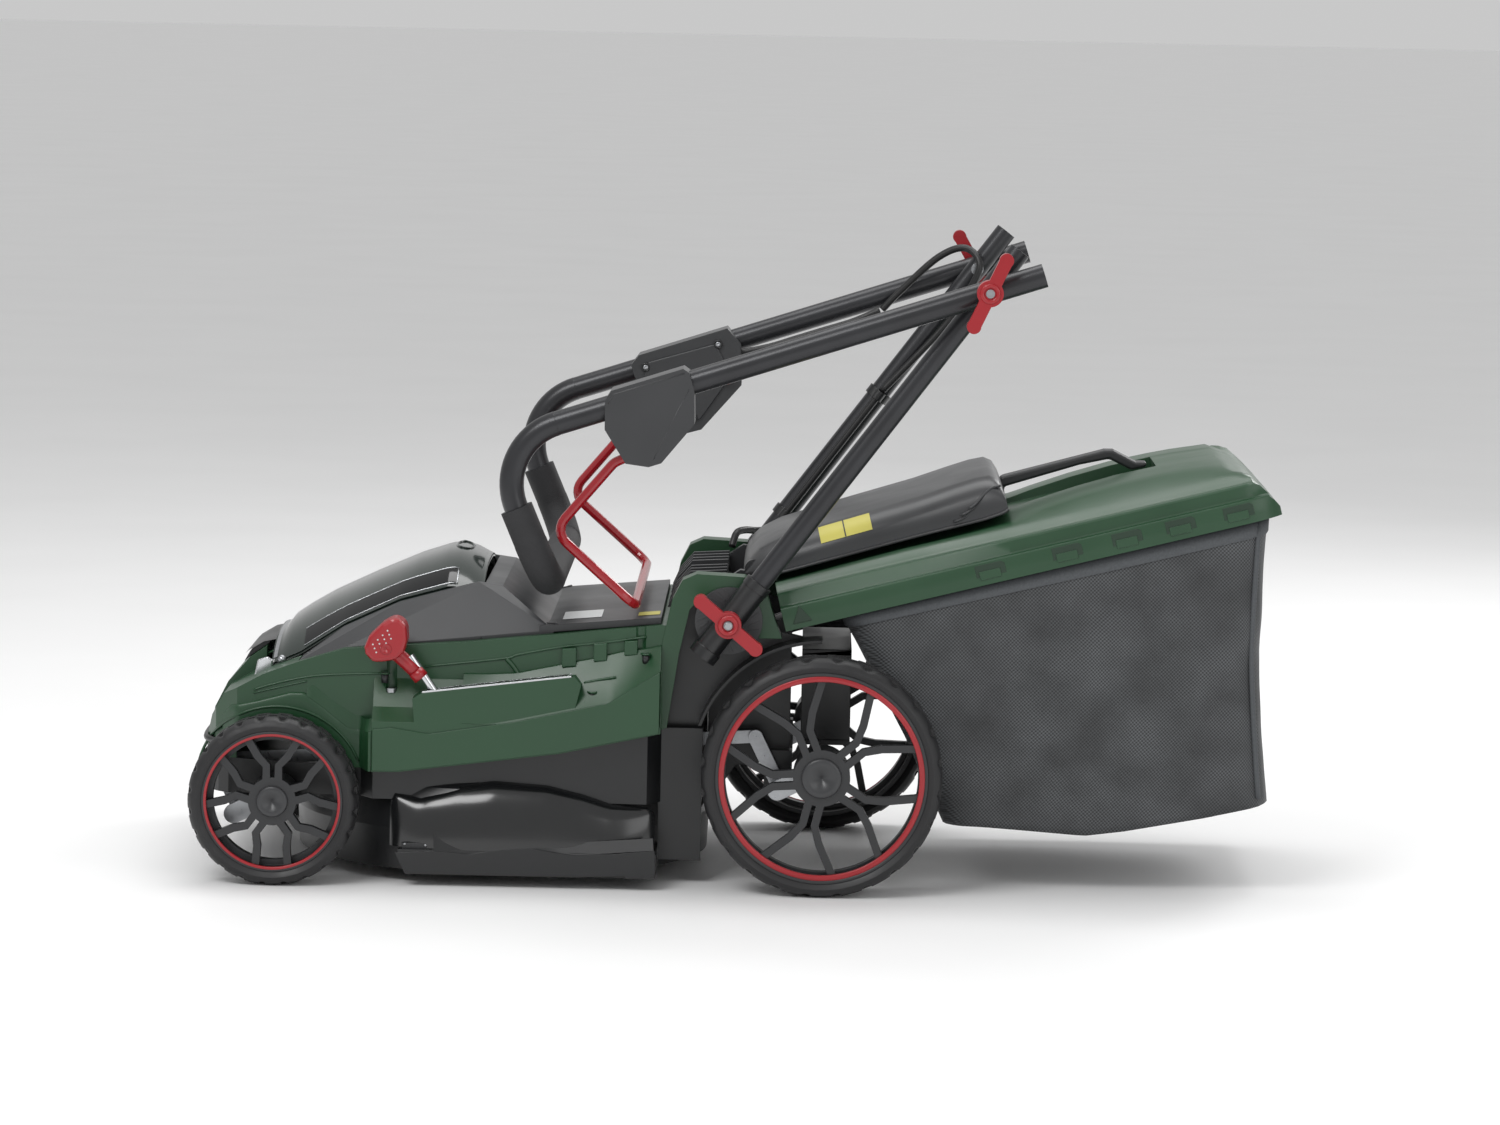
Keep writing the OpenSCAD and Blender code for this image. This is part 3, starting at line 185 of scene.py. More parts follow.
def shades(tree, fac, low, high):
    """Colour between two hex values."""
    return add(
        tree, "ShaderNodeMix", {"data_type": "RGBA"}, _0=fac, _6=linear(low), _7=linear(high)
    ).outputs[2]


def span(tree, value, low, high, a=0.0, b=1.0):
    """A value between a and b, carried over to low and high."""
    return add(
        tree, "ShaderNodeMapRange", None, Value=value, From_Min=a, From_Max=b, To_Min=low, To_Max=high
    ).outputs[0]


def moulded(name, dark, light, rough, grain_mm, depth, radius=0.0008, coat=0.0):
    """Injection-moulded ABS: a fine spark-eroded grain, slightly cloudy gloss, soft edges."""
    mat, tree, skin = new_material(name)
    where = place_mm(tree)
    cloud = add(tree, "ShaderNodeTexNoise", None, Vector=where, Scale=14.0, Detail=3.0)
    grain = add(tree, "ShaderNodeTexNoise", None, Vector=where, Scale=1000 / grain_mm, Detail=2.0)
    tree.links.new(shades(tree, cloud.outputs["Fac"], dark, light), skin.inputs["Base Color"])
    rough_now = span(tree, cloud.outputs["Fac"], rough - 0.05, rough + 0.06, 0.3, 0.7)
    tree.links.new(rough_now, skin.inputs["Roughness"])
    bump = add(
        tree, "ShaderNodeBump", None, Strength=depth, Distance=0.0003,
        Height=grain.outputs["Fac"], Normal=soft_edges(tree, radius),
    )
    tree.links.new(bump.outputs[0], skin.inputs["Normal"])
    skin.inputs["IOR"].default_value = 1.54
    skin.inputs["Coat Weight"].default_value = coat
    skin.inputs["Coat Roughness"].default_value = 0.12
    return mat


def green_abs():
    return moulded("green moulded abs", "#173c22", "#1d4629", 0.36, 1.1, 0.12, coat=0.06)


def green_abs_inner():
    return moulded("green abs in shade", "#102a19", "#15331f", 0.42, 1.1, 0.12)


def black_pp():
    return moulded("black moulded polypropylene", "#131415", "#1c1d1f", 0.33, 1.3, 0.16)


def polished_pp():
    return moulded("polished black polypropylene", "#101112", "#18191a", 0.2, 1.6, 0.04, coat=0.35)


def grey_abs():
    return moulded("dark grey moulded abs", "#2b2c2e", "#353638", 0.38, 1.0, 0.2, coat=0.06)


def charcoal_abs():
    return moulded("charcoal moulded abs", "#1f2022", "#28292b", 0.4, 1.0, 0.2)


def red_abs():
    return moulded("red moulded abs", "#8e0a16", "#a30f1c", 0.32, 1.0, 0.1, coat=0.15)


def white_print():
    return moulded("white printed film", "#c9cbcb", "#d6d8d8", 0.42, 2.0, 0.03, 0.0002)


def yellow_print():
    return moulded("yellow printed film", "#b9b04a", "#c6bd57", 0.42, 2.0, 0.03, 0.0002)


def painted_tube():
    """Powder-coated steel tube: satin dark grey with a fine orange peel."""
    mat, tree, skin = new_material("powder-coated steel")
    where = place_mm(tree)
    peel = add(tree, "ShaderNodeTexNoise", None, Vector=where, Scale=700.0, Detail=1.0)
    tone = add(tree, "ShaderNodeTexNoise", None, Vector=where, Scale=30.0)
    tree.links.new(shades(tree, tone.outputs["Fac"], "#2b2b2d", "#36373a"), skin.inputs["Base Color"])
    bump = add(
        tree, "ShaderNodeBump", None, Strength=0.12, Distance=0.0002,
        Height=peel.outputs["Fac"], Normal=soft_edges(tree, 0.0005),
    )
    tree.links.new(bump.outputs[0], skin.inputs["Normal"])
    skin.inputs["Metallic"].default_value = 0.35
    skin.inputs["Roughness"].default_value = 0.3
    return mat


def red_enamel():
    """Enamelled rod: deep red with a clear gloss."""
    mat, tree, skin = new_material("red enamelled steel")
    where = place_mm(tree)
    tone = add(tree, "ShaderNodeTexNoise", None, Vector=where, Scale=40.0)
    tree.links.new(shades(tree, tone.outputs["Fac"], "#8a0916", "#a00e1b"), skin.inputs["Base Color"])
    skin.inputs["Roughness"].default_value = 0.24
    skin.inputs["Coat Weight"].default_value = 0.4
    return mat


def zinc_plate(name="zinc-plated steel", rough=0.3, code_low="#9a9c9f", code_high="#b9bbbe"):
    """Bright zinc: metallic, faintly patchy."""
    mat, tree, skin = new_material(name)
    where = place_mm(tree)
    patch = add(tree, "ShaderNodeTexNoise", None, Vector=where, Scale=220.0, Detail=3.0)
    tree.links.new(shades(tree, patch.outputs["Fac"], code_low, code_high), skin.inputs["Base Color"])
    tree.links.new(span(tree, patch.outputs["Fac"], rough - 0.08, rough + 0.1), skin.inputs["Roughness"])
    tree.links.new(soft_edges(tree, 0.0004), skin.inputs["Normal"])
    skin.inputs["Metallic"].default_value = 1.0
    return mat


def bright_chrome():
    return zinc_plate("polished chrome plate", 0.14, "#c3c5c8", "#d6d8da")


def ground_steel():
    """Sheet-steel blade: brushed along its length."""
    mat, tree, skin = new_material("ground blade steel")
    where = place_mm(tree)
    lines = add(tree, "ShaderNodeMapping", None, Vector=where, Scale=(40.0, 900.0, 900.0))
    brush = add(tree, "ShaderNodeTexNoise", None, Vector=lines.outputs[0], Scale=1.0, Detail=4.0)
    tree.links.new(shades(tree, brush.outputs["Fac"], "#77797c", "#a6a8ab"), skin.inputs["Base Color"])
    tree.links.new(span(tree, brush.outputs["Fac"], 0.28, 0.5), skin.inputs["Roughness"])
    skin.inputs["Metallic"].default_value = 1.0
    return mat


def tyre_rubber():
    """Hard moulded tyre: near black, with a faint grey bloom."""
    mat, tree, skin = new_material("moulded tyre rubber")
    where = place_mm(tree)
    bloom = add(tree, "ShaderNodeTexNoise", None, Vector=where, Scale=55.0, Detail=5.0)
    grit = add(tree, "ShaderNodeTexNoise", None, Vector=where, Scale=900.0, Detail=2.0)
    tree.links.new(shades(tree, bloom.outputs["Fac"], "#131314", "#232325"), skin.inputs["Base Color"])
    tree.links.new(span(tree, bloom.outputs["Fac"], 0.42, 0.58, 0.3, 0.7), skin.inputs["Roughness"])
    bump = add(
        tree, "ShaderNodeBump", None, Strength=0.2, Distance=0.0003,
        Height=grit.outputs["Fac"], Normal=soft_edges(tree, 0.0006),
    )
    tree.links.new(bump.outputs[0], skin.inputs["Normal"])
    return mat


def cable_rubber():
    """Smooth black sheath of the cable."""
    mat, tree, skin = new_material("cable sheath rubber")
    tone = add(tree, "ShaderNodeTexNoise", None, Vector=place_mm(tree), Scale=90.0)
    tree.links.new(shades(tree, tone.outputs["Fac"], "#0f0f10", "#1b1b1c"), skin.inputs["Base Color"])
    skin.inputs["Roughness"].default_value = 0.4
    return mat


def grip_foam():
    """Closed-cell foam sleeve: matt, with fine cells about 1.2 mm across."""
    mat, tree, skin = new_material("closed-cell foam")
    where = place_mm(tree)
    cells = add(tree, "ShaderNodeTexVoronoi", None, Vector=where, Scale=1000 / 1.2)
    tone = add(tree, "ShaderNodeTexNoise", None, Vector=where, Scale=60.0, Detail=4.0)
    tree.links.new(shades(tree, tone.outputs["Fac"], "#1c1c1e", "#2a2a2c"), skin.inputs["Base Color"])
    bump = add(
        tree, "ShaderNodeBump", None, Strength=0.5, Distance=0.0004, Height=cells.outputs["Distance"]
    )
    tree.links.new(bump.outputs[0], skin.inputs["Normal"])
    skin.inputs["Roughness"].default_value = 0.68
    return mat


def smoked_acrylic():
    """Smoked lid: deep grey-green, with a sharp gloss."""
    mat, tree, skin = new_material("smoked acrylic")
    tone = add(tree, "ShaderNodeTexNoise", None, Vector=place_mm(tree), Scale=12.0)
    tree.links.new(shades(tree, tone.outputs["Fac"], "#1c2521", "#26302b"), skin.inputs["Base Color"])
    skin.inputs["Roughness"].default_value = 0.16
    skin.inputs["IOR"].default_value = 1.49
    skin.inputs["Coat Weight"].default_value = 0.5
    skin.inputs["Coat Roughness"].default_value = 0.05
    return mat


def window_gloss():
    """Band of the lid that is backed in black, so it mirrors."""
    mat, tree, skin = new_material("black backed acrylic")
    tone = add(tree, "ShaderNodeTexNoise", None, Vector=place_mm(tree), Scale=10.0)
    tree.links.new(shades(tree, tone.outputs["Fac"], "#08090a", "#101213"), skin.inputs["Base Color"])
    skin.inputs["Roughness"].default_value = 0.07
    return mat


THREAD_MM = 3.4


def woven_mesh():
    """Polyester mesh of the bag: light threads on black, crossing every THREAD_MM."""
    mat, tree, skin = new_material("woven polyester mesh")
    where = place_mm(tree)
    step = 2 * math.pi * 1000 / THREAD_MM
    parts = add(tree, "ShaderNodeSeparateXYZ", None, Vector=where)
    level = add(tree, "ShaderNodeMath", {"operation": "ADD"}, _0=parts.outputs["X"], _1=parts.outputs["Y"])
    waves = []
    for socket in (level.outputs[0], parts.outputs["Z"]):
        scaled = add(tree, "ShaderNodeMath", {"operation": "MULTIPLY"}, _0=socket, _1=step)
        waves.append(add(tree, "ShaderNodeMath", {"operation": "SINE"}, _0=scaled.outputs[0]).outputs[0])
    weave = add(tree, "ShaderNodeMath", {"operation": "MULTIPLY"}, _0=waves[0], _1=waves[1])
    thread = span(tree, weave.outputs[0], 0.0, 1.0, -1.0, 1.0)
    tone = add(tree, "ShaderNodeTexNoise", None, Vector=where, Scale=20.0, Detail=4.0)
    shade = add(tree, "ShaderNodeMath", {"operation": "MULTIPLY"}, _0=thread, _1=tone.outputs["Fac"])
    tree.links.new(shades(tree, shade.outputs[0], "#0e0f10", "#6e7174"), skin.inputs["Base Color"])
    bump = add(tree, "ShaderNodeBump", None, Strength=0.5, Distance=0.0005, Height=thread)
    tree.links.new(bump.outputs[0], skin.inputs["Normal"])
    skin.inputs["Roughness"].default_value = 0.62
    skin.inputs["Sheen Weight"].default_value = 0.15
    return mat


def hem_tape():
    """Woven tape round the top of the bag, a flat grey."""
    mat, tree, skin = new_material("woven hem tape")
    where = place_mm(tree)
    ribs = add(tree, "ShaderNodeTexNoise", None, Vector=where, Scale=600.0)
    tree.links.new(shades(tree, ribs.outputs["Fac"], "#3d4043", "#55585b"), skin.inputs["Base Color"])
    skin.inputs["Roughness"].default_value = 0.7
    return mat


def seamless_paper():
    """Studio paper: plain and pale."""
    mat, tree, skin = new_material("pale studio paper")
    fibre = add(tree, "ShaderNodeTexNoise", None, Vector=place_mm(tree), Scale=3.0)
    tree.links.new(shades(tree, fibre.outputs["Fac"], "#f4f4f4", "#fbfbfb"), skin.inputs["Base Color"])
    skin.inputs["Roughness"].default_value = 0.5
    return mat


MATS = {
    "green": green_abs(),
    "green_inner": green_abs_inner(),
    "black": black_pp(),
    "gloss_black": polished_pp(),
    "grey": grey_abs(),
    "charcoal": charcoal_abs(),
    "red": red_abs(),
    "enamel": red_enamel(),
    "tube": painted_tube(),
    "zinc": zinc_plate(),
    "chrome": bright_chrome(),
    "blade": ground_steel(),
    "tyre": tyre_rubber(),
    "cable": cable_rubber(),
    "foam": grip_foam(),
    "smoke": smoked_acrylic(),
    "window": window_gloss(),
    "mesh": woven_mesh(),
    "tape": hem_tape(),
    "white": white_print(),
    "yellow": yellow_print(),
    "trim": zinc_plate("bright trim", 0.2, "#a8aaad", "#c4c6c8"),
}

NODE_FINISH = {
    "green": ["deck_cover", "bag_lid"],
    "black": [
        "blade_housing", "discharge_chute", "battery_tray", "battery_packs", "rear_frames",
        "axle_clamps", "tube_sockets", "cable_clips", "bag_handle", "blade_carrier",
    ],
    "grey": [
        "motor_hood", "handle_discs", "hinge_cradle", "front_grip", "bail_bracket", "switch_box",
        "rear_flap", "front_cap_left", "front_cap_right", "rear_cap_left", "rear_cap_right",
    ],
    "charcoal": ["front_rim_left", "front_rim_right", "rear_rim_left", "rear_rim_right"],
    "red": [
        "lock_button", "pivot_knob_left", "pivot_knob_right", "fold_knob_left", "fold_knob_right",
        "lever_grip",
    ],
    "enamel": ["bail"],
    "tube": ["lower_tube_left", "lower_tube_right", "upper_tube", "motor"],
    "zinc": [
        "flap_hinge_pin", "cover_screws", "pivot_bolts", "fold_bolts", "front_axle", "rear_axle",
        "height_link",
    ],
    "chrome": ["height_plate", "height_lever"],
    "blade": ["blade"],
    "tyre": ["front_tyre_left", "front_tyre_right", "rear_tyre_left", "rear_tyre_right"],
    "cable": ["lower_cable", "cable_tail", "cable_loop", "upper_cable"],
    "foam": ["foam_grip"],
    "smoke": ["battery_lid"],
    "mesh": ["bag_fabric"],
}


def finish_nodes():
    """Gives each node of the frame its finish."""
    for key, names in NODE_FINISH.items():
        for name in names:
            nodes[name].data.materials.clear()
            nodes[name].data.materials.append(MATS[key])


# ------------------------------------------------------------------ mesh helpers


def piece(name, verts, faces, finish, body, stands_for=(), smooth=True):
    """A new piece from its points and faces, riding on a body."""
    mesh = bpy.data.meshes.new(name)
    mesh.from_pydata([tuple(v) for v in verts], [], faces)
    mesh.validate()
    obj = bpy.data.objects.new(name, mesh)
    bpy.context.scene.collection.objects.link(obj)
    mesh.materials.append(MATS[finish])
    for poly in mesh.polygons:
        poly.use_smooth = smooth
    if body:
        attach(obj, body)
    if stands_for:
        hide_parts(*stands_for)
    return obj


def grid_faces(rows, cols, wrap_rows=False, wrap_cols=False, flip=False):
    """Quads of a grid of points kept row by row."""
    faces = []
    for i in range(rows if wrap_rows else rows - 1):
        for j in range(cols if wrap_cols else cols - 1):
            i2, j2 = (i + 1) % rows, (j + 1) % cols
            quad = (i * cols + j, i * cols + j2, i2 * cols + j2, i2 * cols + j)
            faces.append(quad[::-1] if flip else quad)
    return faces


def lathe(name, centre, profile, finish, body, side=1, turns=96, stands_for=()):
    """A ring turned about Y through centre. The closed profile gives (radius, distance outwards) in mm."""
    verts = []
    for k in range(turns):
        a = 2 * math.pi * k / turns
        for r, out in profile:
            verts.append(centre + Vector((r * math.cos(a), side * out, r * math.sin(a))) / 1000)
    faces = grid_faces(turns, len(profile), True, True, side > 0)
    return piece(name, verts, faces, finish, body, stands_for)


def cap_ends(faces, rows, cols):
    """Closes a tube kept row by row with a face at each end."""
    return faces + [tuple(range(cols))[::-1], tuple(range((rows - 1) * cols, rows * cols))]


def smooth_path(points, steps):
    """A smooth curve through points, with steps between each pair."""
    path = []
    last = len(points) - 1
    for i in range(last):
        a, b, c, d = (points[max(i - 1, 0)], points[i], points[i + 1], points[min(i + 2, last)])
        for s in range(steps):
            t = s / steps
            bend = (2 * a - 5 * b + 4 * c - d) * t * t
            path.append(0.5 * (2 * b + (c - a) * t + bend + (3 * b - a - 3 * c + d) * t ** 3))
    return path + [points[-1]]


def tube_along(name, path, radius, finish, body, sides=14, stands_for=()):
    """A round bar swept along a path, in metres."""
    ahead = [(path[min(i + 1, len(path) - 1)] - path[max(i - 1, 0)]).normalized() for i in range(len(path))]
    u = ahead[0].orthogonal().normalized()
    verts = []
    for p, d in zip(path, ahead):
        u = (u - d * u.dot(d)).normalized()
        v = d.cross(u)
        for k in range(sides):
            a = 2 * math.pi * k / sides
            verts.append(p + radius * (math.cos(a) * u + math.sin(a) * v))
    faces = cap_ends(grid_faces(len(path), sides, False, True), len(path), sides)
    return piece(name, verts, faces, finish, body, stands_for)


def face_out(obj):
    """Turns the faces of a closed mesh outwards."""
    fix = bmesh.new()
    fix.from_mesh(obj.data)
    bmesh.ops.recalc_face_normals(fix, faces=fix.faces)
    fix.to_mesh(obj.data)
    fix.free()


def block(name, outline, place, depth, finish, body, bevel=0.6, stands_for=()):
    """A moulded block: an outline of (a, b) in mm, put in place by place(a, b, side), over a depth, with
    its edges rounded."""
    n = len(outline)
    verts = [place(a, b, 0.0) for a, b in outline] + [place(a, b, depth) for a, b in outline]
    faces = [tuple(range(n))[::-1], tuple(range(n, 2 * n))]
    faces += [(k, (k + 1) % n, n + (k + 1) % n, n + k) for k in range(n)]
    obj = piece(name, verts, faces, finish, body, stands_for, False)
    face_out(obj)
    if bevel:
        edge = obj.modifiers.new("edges", "BEVEL")
        edge.width, edge.segments, edge.limit_method = bevel / 1000, 2, "ANGLE"
        edge.angle_limit = math.radians(35)
    return obj


def along(table, x):
    """The value at x on straight lines through the (x, value) pairs of table."""
    if x <= table[0][0]:
        return table[0][1]
    for (x0, v0), (x1, v1) in zip(table, table[1:]):
        if x <= x1:
            return v0 + (v1 - v0) * (x - x0) / (x1 - x0)
    return table[-1][1]


def eased(t):
    """0 to 1 with a soft start and end."""
    return t * t * (3 - 2 * t)


# ------------------------------------------------------------------ wheels

TREAD_STEPS = 192
LUG_STEPS, GROOVE_STEPS = 8, 2
GROOVE, SHOULDER_GROOVE, EDGE_GROOVE = 3.0, 2.2, 1.2


def make_tyre(name, centre, r, side, body):
    """Moulded tyre: round shoulders, a flat crown, and staggered lugs with grooves between."""
    half, inner = TYRE_W * 1000 / 2, r - TYRE_H * 1000
    profile = [
        (inner, -half + 3), (inner + 2, -half + 1.4), (r - 8, -half), (r - 4.6, -half + 1.2),
        (r - 2, -half + 4), (r - 0.4, -half + 8), (r, -half + 9), (r, -half + 16), (r, -half + 16.2),
        (r, 0), (r, 0.2), (r, half - 14), (r, half - 13.8), (r, half - 9), (r - 0.4, half - 8),
        (r - 2, half - 4), (r - 4.6, half - 1.2), (r - 8, half), (inner + 2, half - 1.4),
        (inner, half - 3),
    ]
    # Points of the profile that dip in a groove: how deep, and by how many steps it is staggered
    half_lug = LUG_STEPS // 2
    lanes = {j: (GROOVE, half_lug * (j // 2 % 2 == 0)) for j in range(6, 14)}
    lanes.update({5: (SHOULDER_GROOVE, 0), 14: (SHOULDER_GROOVE, half_lug)})
    lanes.update({4: (EDGE_GROOVE, 0), 15: (EDGE_GROOVE, half_lug)})
    verts = []
    for k in range(TREAD_STEPS):
        a = 2 * math.pi * k / TREAD_STEPS
        for j, (radius, out) in enumerate(profile):
            deep, stagger = lanes.get(j, (0.0, 0))
            dip = deep if (k + stagger) % LUG_STEPS < GROOVE_STEPS else 0.0
            rr = (radius - dip) / 1000
            verts.append(centre + Vector((rr * math.cos(a), side * out / 1000, rr * math.sin(a))))
    faces = grid_faces(TREAD_STEPS, len(profile), True, True, side > 0)
    obj = piece(name + "_tread", verts, faces, "tyre", body, [name])
    sharpen(obj, 40)
    return obj


def sharpen(obj, degrees):
    """Smooth shading that keeps edges above an angle sharp."""
    fix = bmesh.new()
    fix.from_mesh(obj.data)
    limit = math.radians(degrees)
    for edge in fix.edges:
        if len(edge.link_faces) == 2 and edge.calc_face_angle(0.0) > limit:
            edge.smooth = False
    fix.to_mesh(obj.data)
    fix.free()


def make_wheels():
    """Tyres with their red rings, rim lips and hub caps."""
    ends = (
        ("front", FRONT_AXLE_X, FRONT_R, "wheel_f", 14.0, 62.2, 2.2),
        ("rear", REAR_AXLE_X, REAR_R, "wheel_r", 18.0, 91.5, 2.6),
    )
    for end, x, r, body_stem, hub, ring, ring_w in ends:
        for side_name, side in SIDES:
            centre = Vector((x, side * TYRE_Y, r))
            body = body_stem + side_name[0]
            make_tyre(f"{end}_tyre_{side_name}", centre, r * 1000, side, body)
            face = TYRE_W * 1000 / 2 - 4
            inner = (r - TYRE_H) * 1000
            lathe(
                f"{end}_red_ring_{side_name}", centre,
                [(ring - ring_w, face - 2), (ring - ring_w, face + 0.6), (ring - ring_w + 0.6, face + 1.2),
                 (ring + ring_w - 0.6, face + 1.2), (ring + ring_w, face + 0.6), (ring + ring_w, face - 2)],
                "red", body, side,
            )
            lathe(
                f"{end}_rim_lip_{side_name}", centre,
                [(inner - 4, face - 3), (inner - 4, face + 0.4), (inner - 0.6, face + 1.8),
                 (inner + 0.4, face + 1.0), (inner - 0.4, face - 3)],
                "charcoal", body, side,
            )
            lathe(
                f"{end}_hub_cap_{side_name}", centre,
                [(0.01, face + 0.2), (hub * 0.55, face + 0.4), (hub * 0.62, face + 1.4),
                 (hub * 0.9, face + 1.4), (hub, face + 0.6), (hub + 0.5, face - 1.0),
                 (hub + 0.5, face - 5), (0.01, face - 5)],
                "grey", body, side, 48, [f"{end}_cap_{side_name}"],
            )


# ------------------------------------------------------------------ smoked lid

LID_MID = [(-6, 214), (-2, 222), (14, 233), (36, 246), (78, 266), (119, 284), (146, 293), (158, 294),
           (170, 291), (184, 283)]
LID_EDGE = [(-12, 191), (15, 203), (56, 230), (107, 254), (153, 267), (176, 264), (184, 262)]
LID_HALF = 110.0
LID_FRONT, LID_L, LID_WALL = -12, 196, 3.0
BAND_FRONT, BAND_L = 18, 140
BAND_INNER, BAND_OUTER = 84.5, 106.5
TRIM_R = 0.0007


def lid_top(x, y):
    """Height of the lid's outer face, in mm, x from the front axle."""
    side = min(abs(y) / LID_HALF, 1.0)
    crown = 1 - side ** 2.8
    return along(LID_EDGE, x) + (along(LID_MID, x) - along(LID_EDGE, x)) * crown


def lid_point(x, y, lift=0.0):
    """A place on the lid's outer face, or lift mm above it."""
    return Vector((FRONT_AXLE_X + x / 1000, y / 1000, (lid_top(x, y) + lift) / 1000))


def lid_strip(name, xs, ys, lift, finish, thick=0.0):
    """A strip that follows the lid's face, closed underneath when it has a thickness."""
    top = [lid_point(x, y, lift) for x in xs for y in ys]
    faces = grid_faces(len(xs), len(ys), flip=True)
    if thick:
        count = len(top)
        under = [lid_point(x, y, lift - thick) for x in xs for y in ys]
        top += under
        faces += [tuple(count + v for v in f[::-1]) for f in grid_faces(len(xs), len(ys), flip=True)]
        rim = [i * len(ys) for i in range(len(xs))]
        rim += [(len(xs) - 1) * len(ys) + j for j in range(1, len(ys))]
        rim += [i * len(ys) + len(ys) - 1 for i in range(len(xs) - 2, -1, -1)]
        rim += list(range(len(ys) - 2, 0, -1))
        faces += [
            (rim[k], rim[(k + 1) % len(rim)], count + rim[(k + 1) % len(rim)], count + rim[k])
            for k in range(len(rim))
        ]
    return piece(name, top, faces, finish, "lid")


def make_lid():
    """The lid's shell, its two gloss bands with their trim, hinge barrels and finger rim."""
    xs = [LID_FRONT + LID_L * i / 48 for i in range(49)]
    ys = [LID_HALF * math.sin(math.pi / 2 * j / 20) for j in range(-20, 21)]
    shell = lid_strip("smoked_lid_shell", xs, ys, 0.0, "smoke", LID_WALL)
    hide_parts("battery_lid")
    window_x = [BAND_FRONT + BAND_L * i / 30 for i in range(31)]
    for side_name, side in SIDES:
        band = [side * (86 + 19 * j / 8) for j in range(9)]
        if side < 0:
            band = band[::-1]
        lid_strip(f"lid_window_{side_name}", window_x, band, 0.5, "window")
        for tag, y in (("upper", BAND_INNER), ("lower", BAND_OUTER)):
            path = [lid_point(x, side * y, 0.4) for x in window_x]
            tube_along(f"lid_trim_{tag}_{side_name}", path, TRIM_R, "trim", "lid", 6)
        ends = (BAND_INNER, 90, 96, 102, BAND_OUTER)
        end = [lid_point(BAND_FRONT + BAND_L + 1, side * y, 0.4) for y in ends]
        tube_along(f"lid_trim_end_{side_name}", end, TRIM_R, "trim", "lid", 6)
        hinge = [Vector((FRONT_AXLE_X - 0.002, side * y / 1000, 0.195)) for y in (101, 115)]
        tube_along(f"lid_hinge_barrel_{side_name}", hinge, 0.0038, "zinc", "lid", 18)
    front = [-10.5, -9, -7]
    lid_strip("lid_front_strip", front, ys[4:-4], 0.6, "trim")
    oval = []
    for k in range(28):
        a = 2 * math.pi * k / 28
        oval.append(lid_point(160 + 8 * math.cos(a), 26 * math.sin(a), 0.5))
    tube_along("lid_finger_rim", oval + oval[:1], 0.0011, "smoke", "lid", 8)


# ------------------------------------------------------------------ cable

CABLE_R = 0.0035
LOWER_IN = 0.161
UPPER_IN = 0.1810


def sheath(node, points, body):
    """A stretch of the cable in place of its node."""
    path = smooth_path(points, 8)
    return tube_along(node + "_sheath", path, CABLE_R, "cable", body, 14, [node])


def tube_along_joint(node, points):
    """A stretch of cable that bends where it passes over a joint."""
    obj = sheath(node, points, None)
    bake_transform(obj)


def make_cables():
    """One cable in four stretches, from the switch box down to the deck."""
    dips = ((247, -12), (215, -15), (190, -15), (160, -15), (130, -15), (102, -12))
    upper = [on_upper(u, UPPER_IN * 1000, v) for u, v in dips]
    loop = [on_upper(99.6, UPPER_IN * 1000, -12), on_upper(78, UPPER_IN * 1000 - 2, 0)]
    bends = ((-38, 173, 10), (-12, 165, 20), (2, 152.5, 4), (-12, 154.5, -28), (-34, 158.5, -60))
    loop += [FOLD + Vector(bend) / 1000 for bend in bends]
    loop.append(on_lower(232, LOWER_IN * 1000, 0))
    lower = [on_lower(u, LOWER_IN * 1000, 0) for u in (232, 190, 150, 110, 74)]
    tail = [lower[-1], on_lower(62, LOWER_IN * 1000 - 2, 1)]
    bends = ((22, 147.5, 50), (10, 131.5, 52), (2, 119, 50), (-2, 111, 38))
    tail += [PIVOT + Vector(bend) / 1000 for bend in bends]
    sheath("upper_cable", upper, "upper_handle")
    sheath("lower_cable", lower, "lower_handle")
    tube_along_joint("cable_loop", loop)
    tube_along_joint("cable_tail", tail)


# ------------------------------------------------------------------ grass bag

BAG_RING, BAG_ROWS = 132, 34
BAG_BOTTOM = [(113, 60), (150, 59), (183, 57), (243, 53), (280, 58), (353, 72), (405, 84), (415, 88)]


def bag_top(x):
    """Height of the bag's hem, in mm, x from the rear axle."""
    return 240 + (x + 36) * math.tan(BAG_SLOPE) - 4


def bag_plan(t):
    """Front, back and half width of the bag at t, from its hem (0) to its floor (1)."""
    front = 16 + 97 * t
    back = 404 - 4 * math.sin(math.pi * t) + 8 * max(0.0, t - 0.45) / 0.55
    half = 155.5 + 4 * math.sin(math.pi * min(1, t * 1.1)) - 5 * t ** 4
    return front, back, half


def round_plan(k, front, back, half, corner=22.0):
    """Point k of a rounded rectangle, started at the middle of its front."""
    length, width = back - front - 2 * corner, 2 * (half - corner)
    arc = math.pi * corner / 2
    total = 2 * length + 2 * width + 4 * arc
    s = total * k / BAG_RING

    def bent(d):
        return corner * math.sin(d / corner), corner * math.cos(d / corner)

    x0, x1, y1 = front + corner, back - corner, width / 2
    parts = [
        (y1, lambda d: (front, -d)),
        (arc, lambda d: (x0 - bent(d)[1], -y1 - bent(d)[0])),
        (length, lambda d: (x0 + d, -half)),
        (arc, lambda d: (x1 + bent(d)[0], -y1 - bent(d)[1])),
        (width, lambda d: (back, -y1 + d)),
        (arc, lambda d: (x1 + bent(d)[1], y1 + bent(d)[0])),
        (length, lambda d: (x1 - d, half)),
        (arc, lambda d: (x0 - bent(d)[0], y1 + bent(d)[1])),
        (y1 + 1, lambda d: (front, y1 - d)),
    ]
    for size, where in parts:
        if s <= size:
            return where(s)
        s -= size
    return front, 0.0


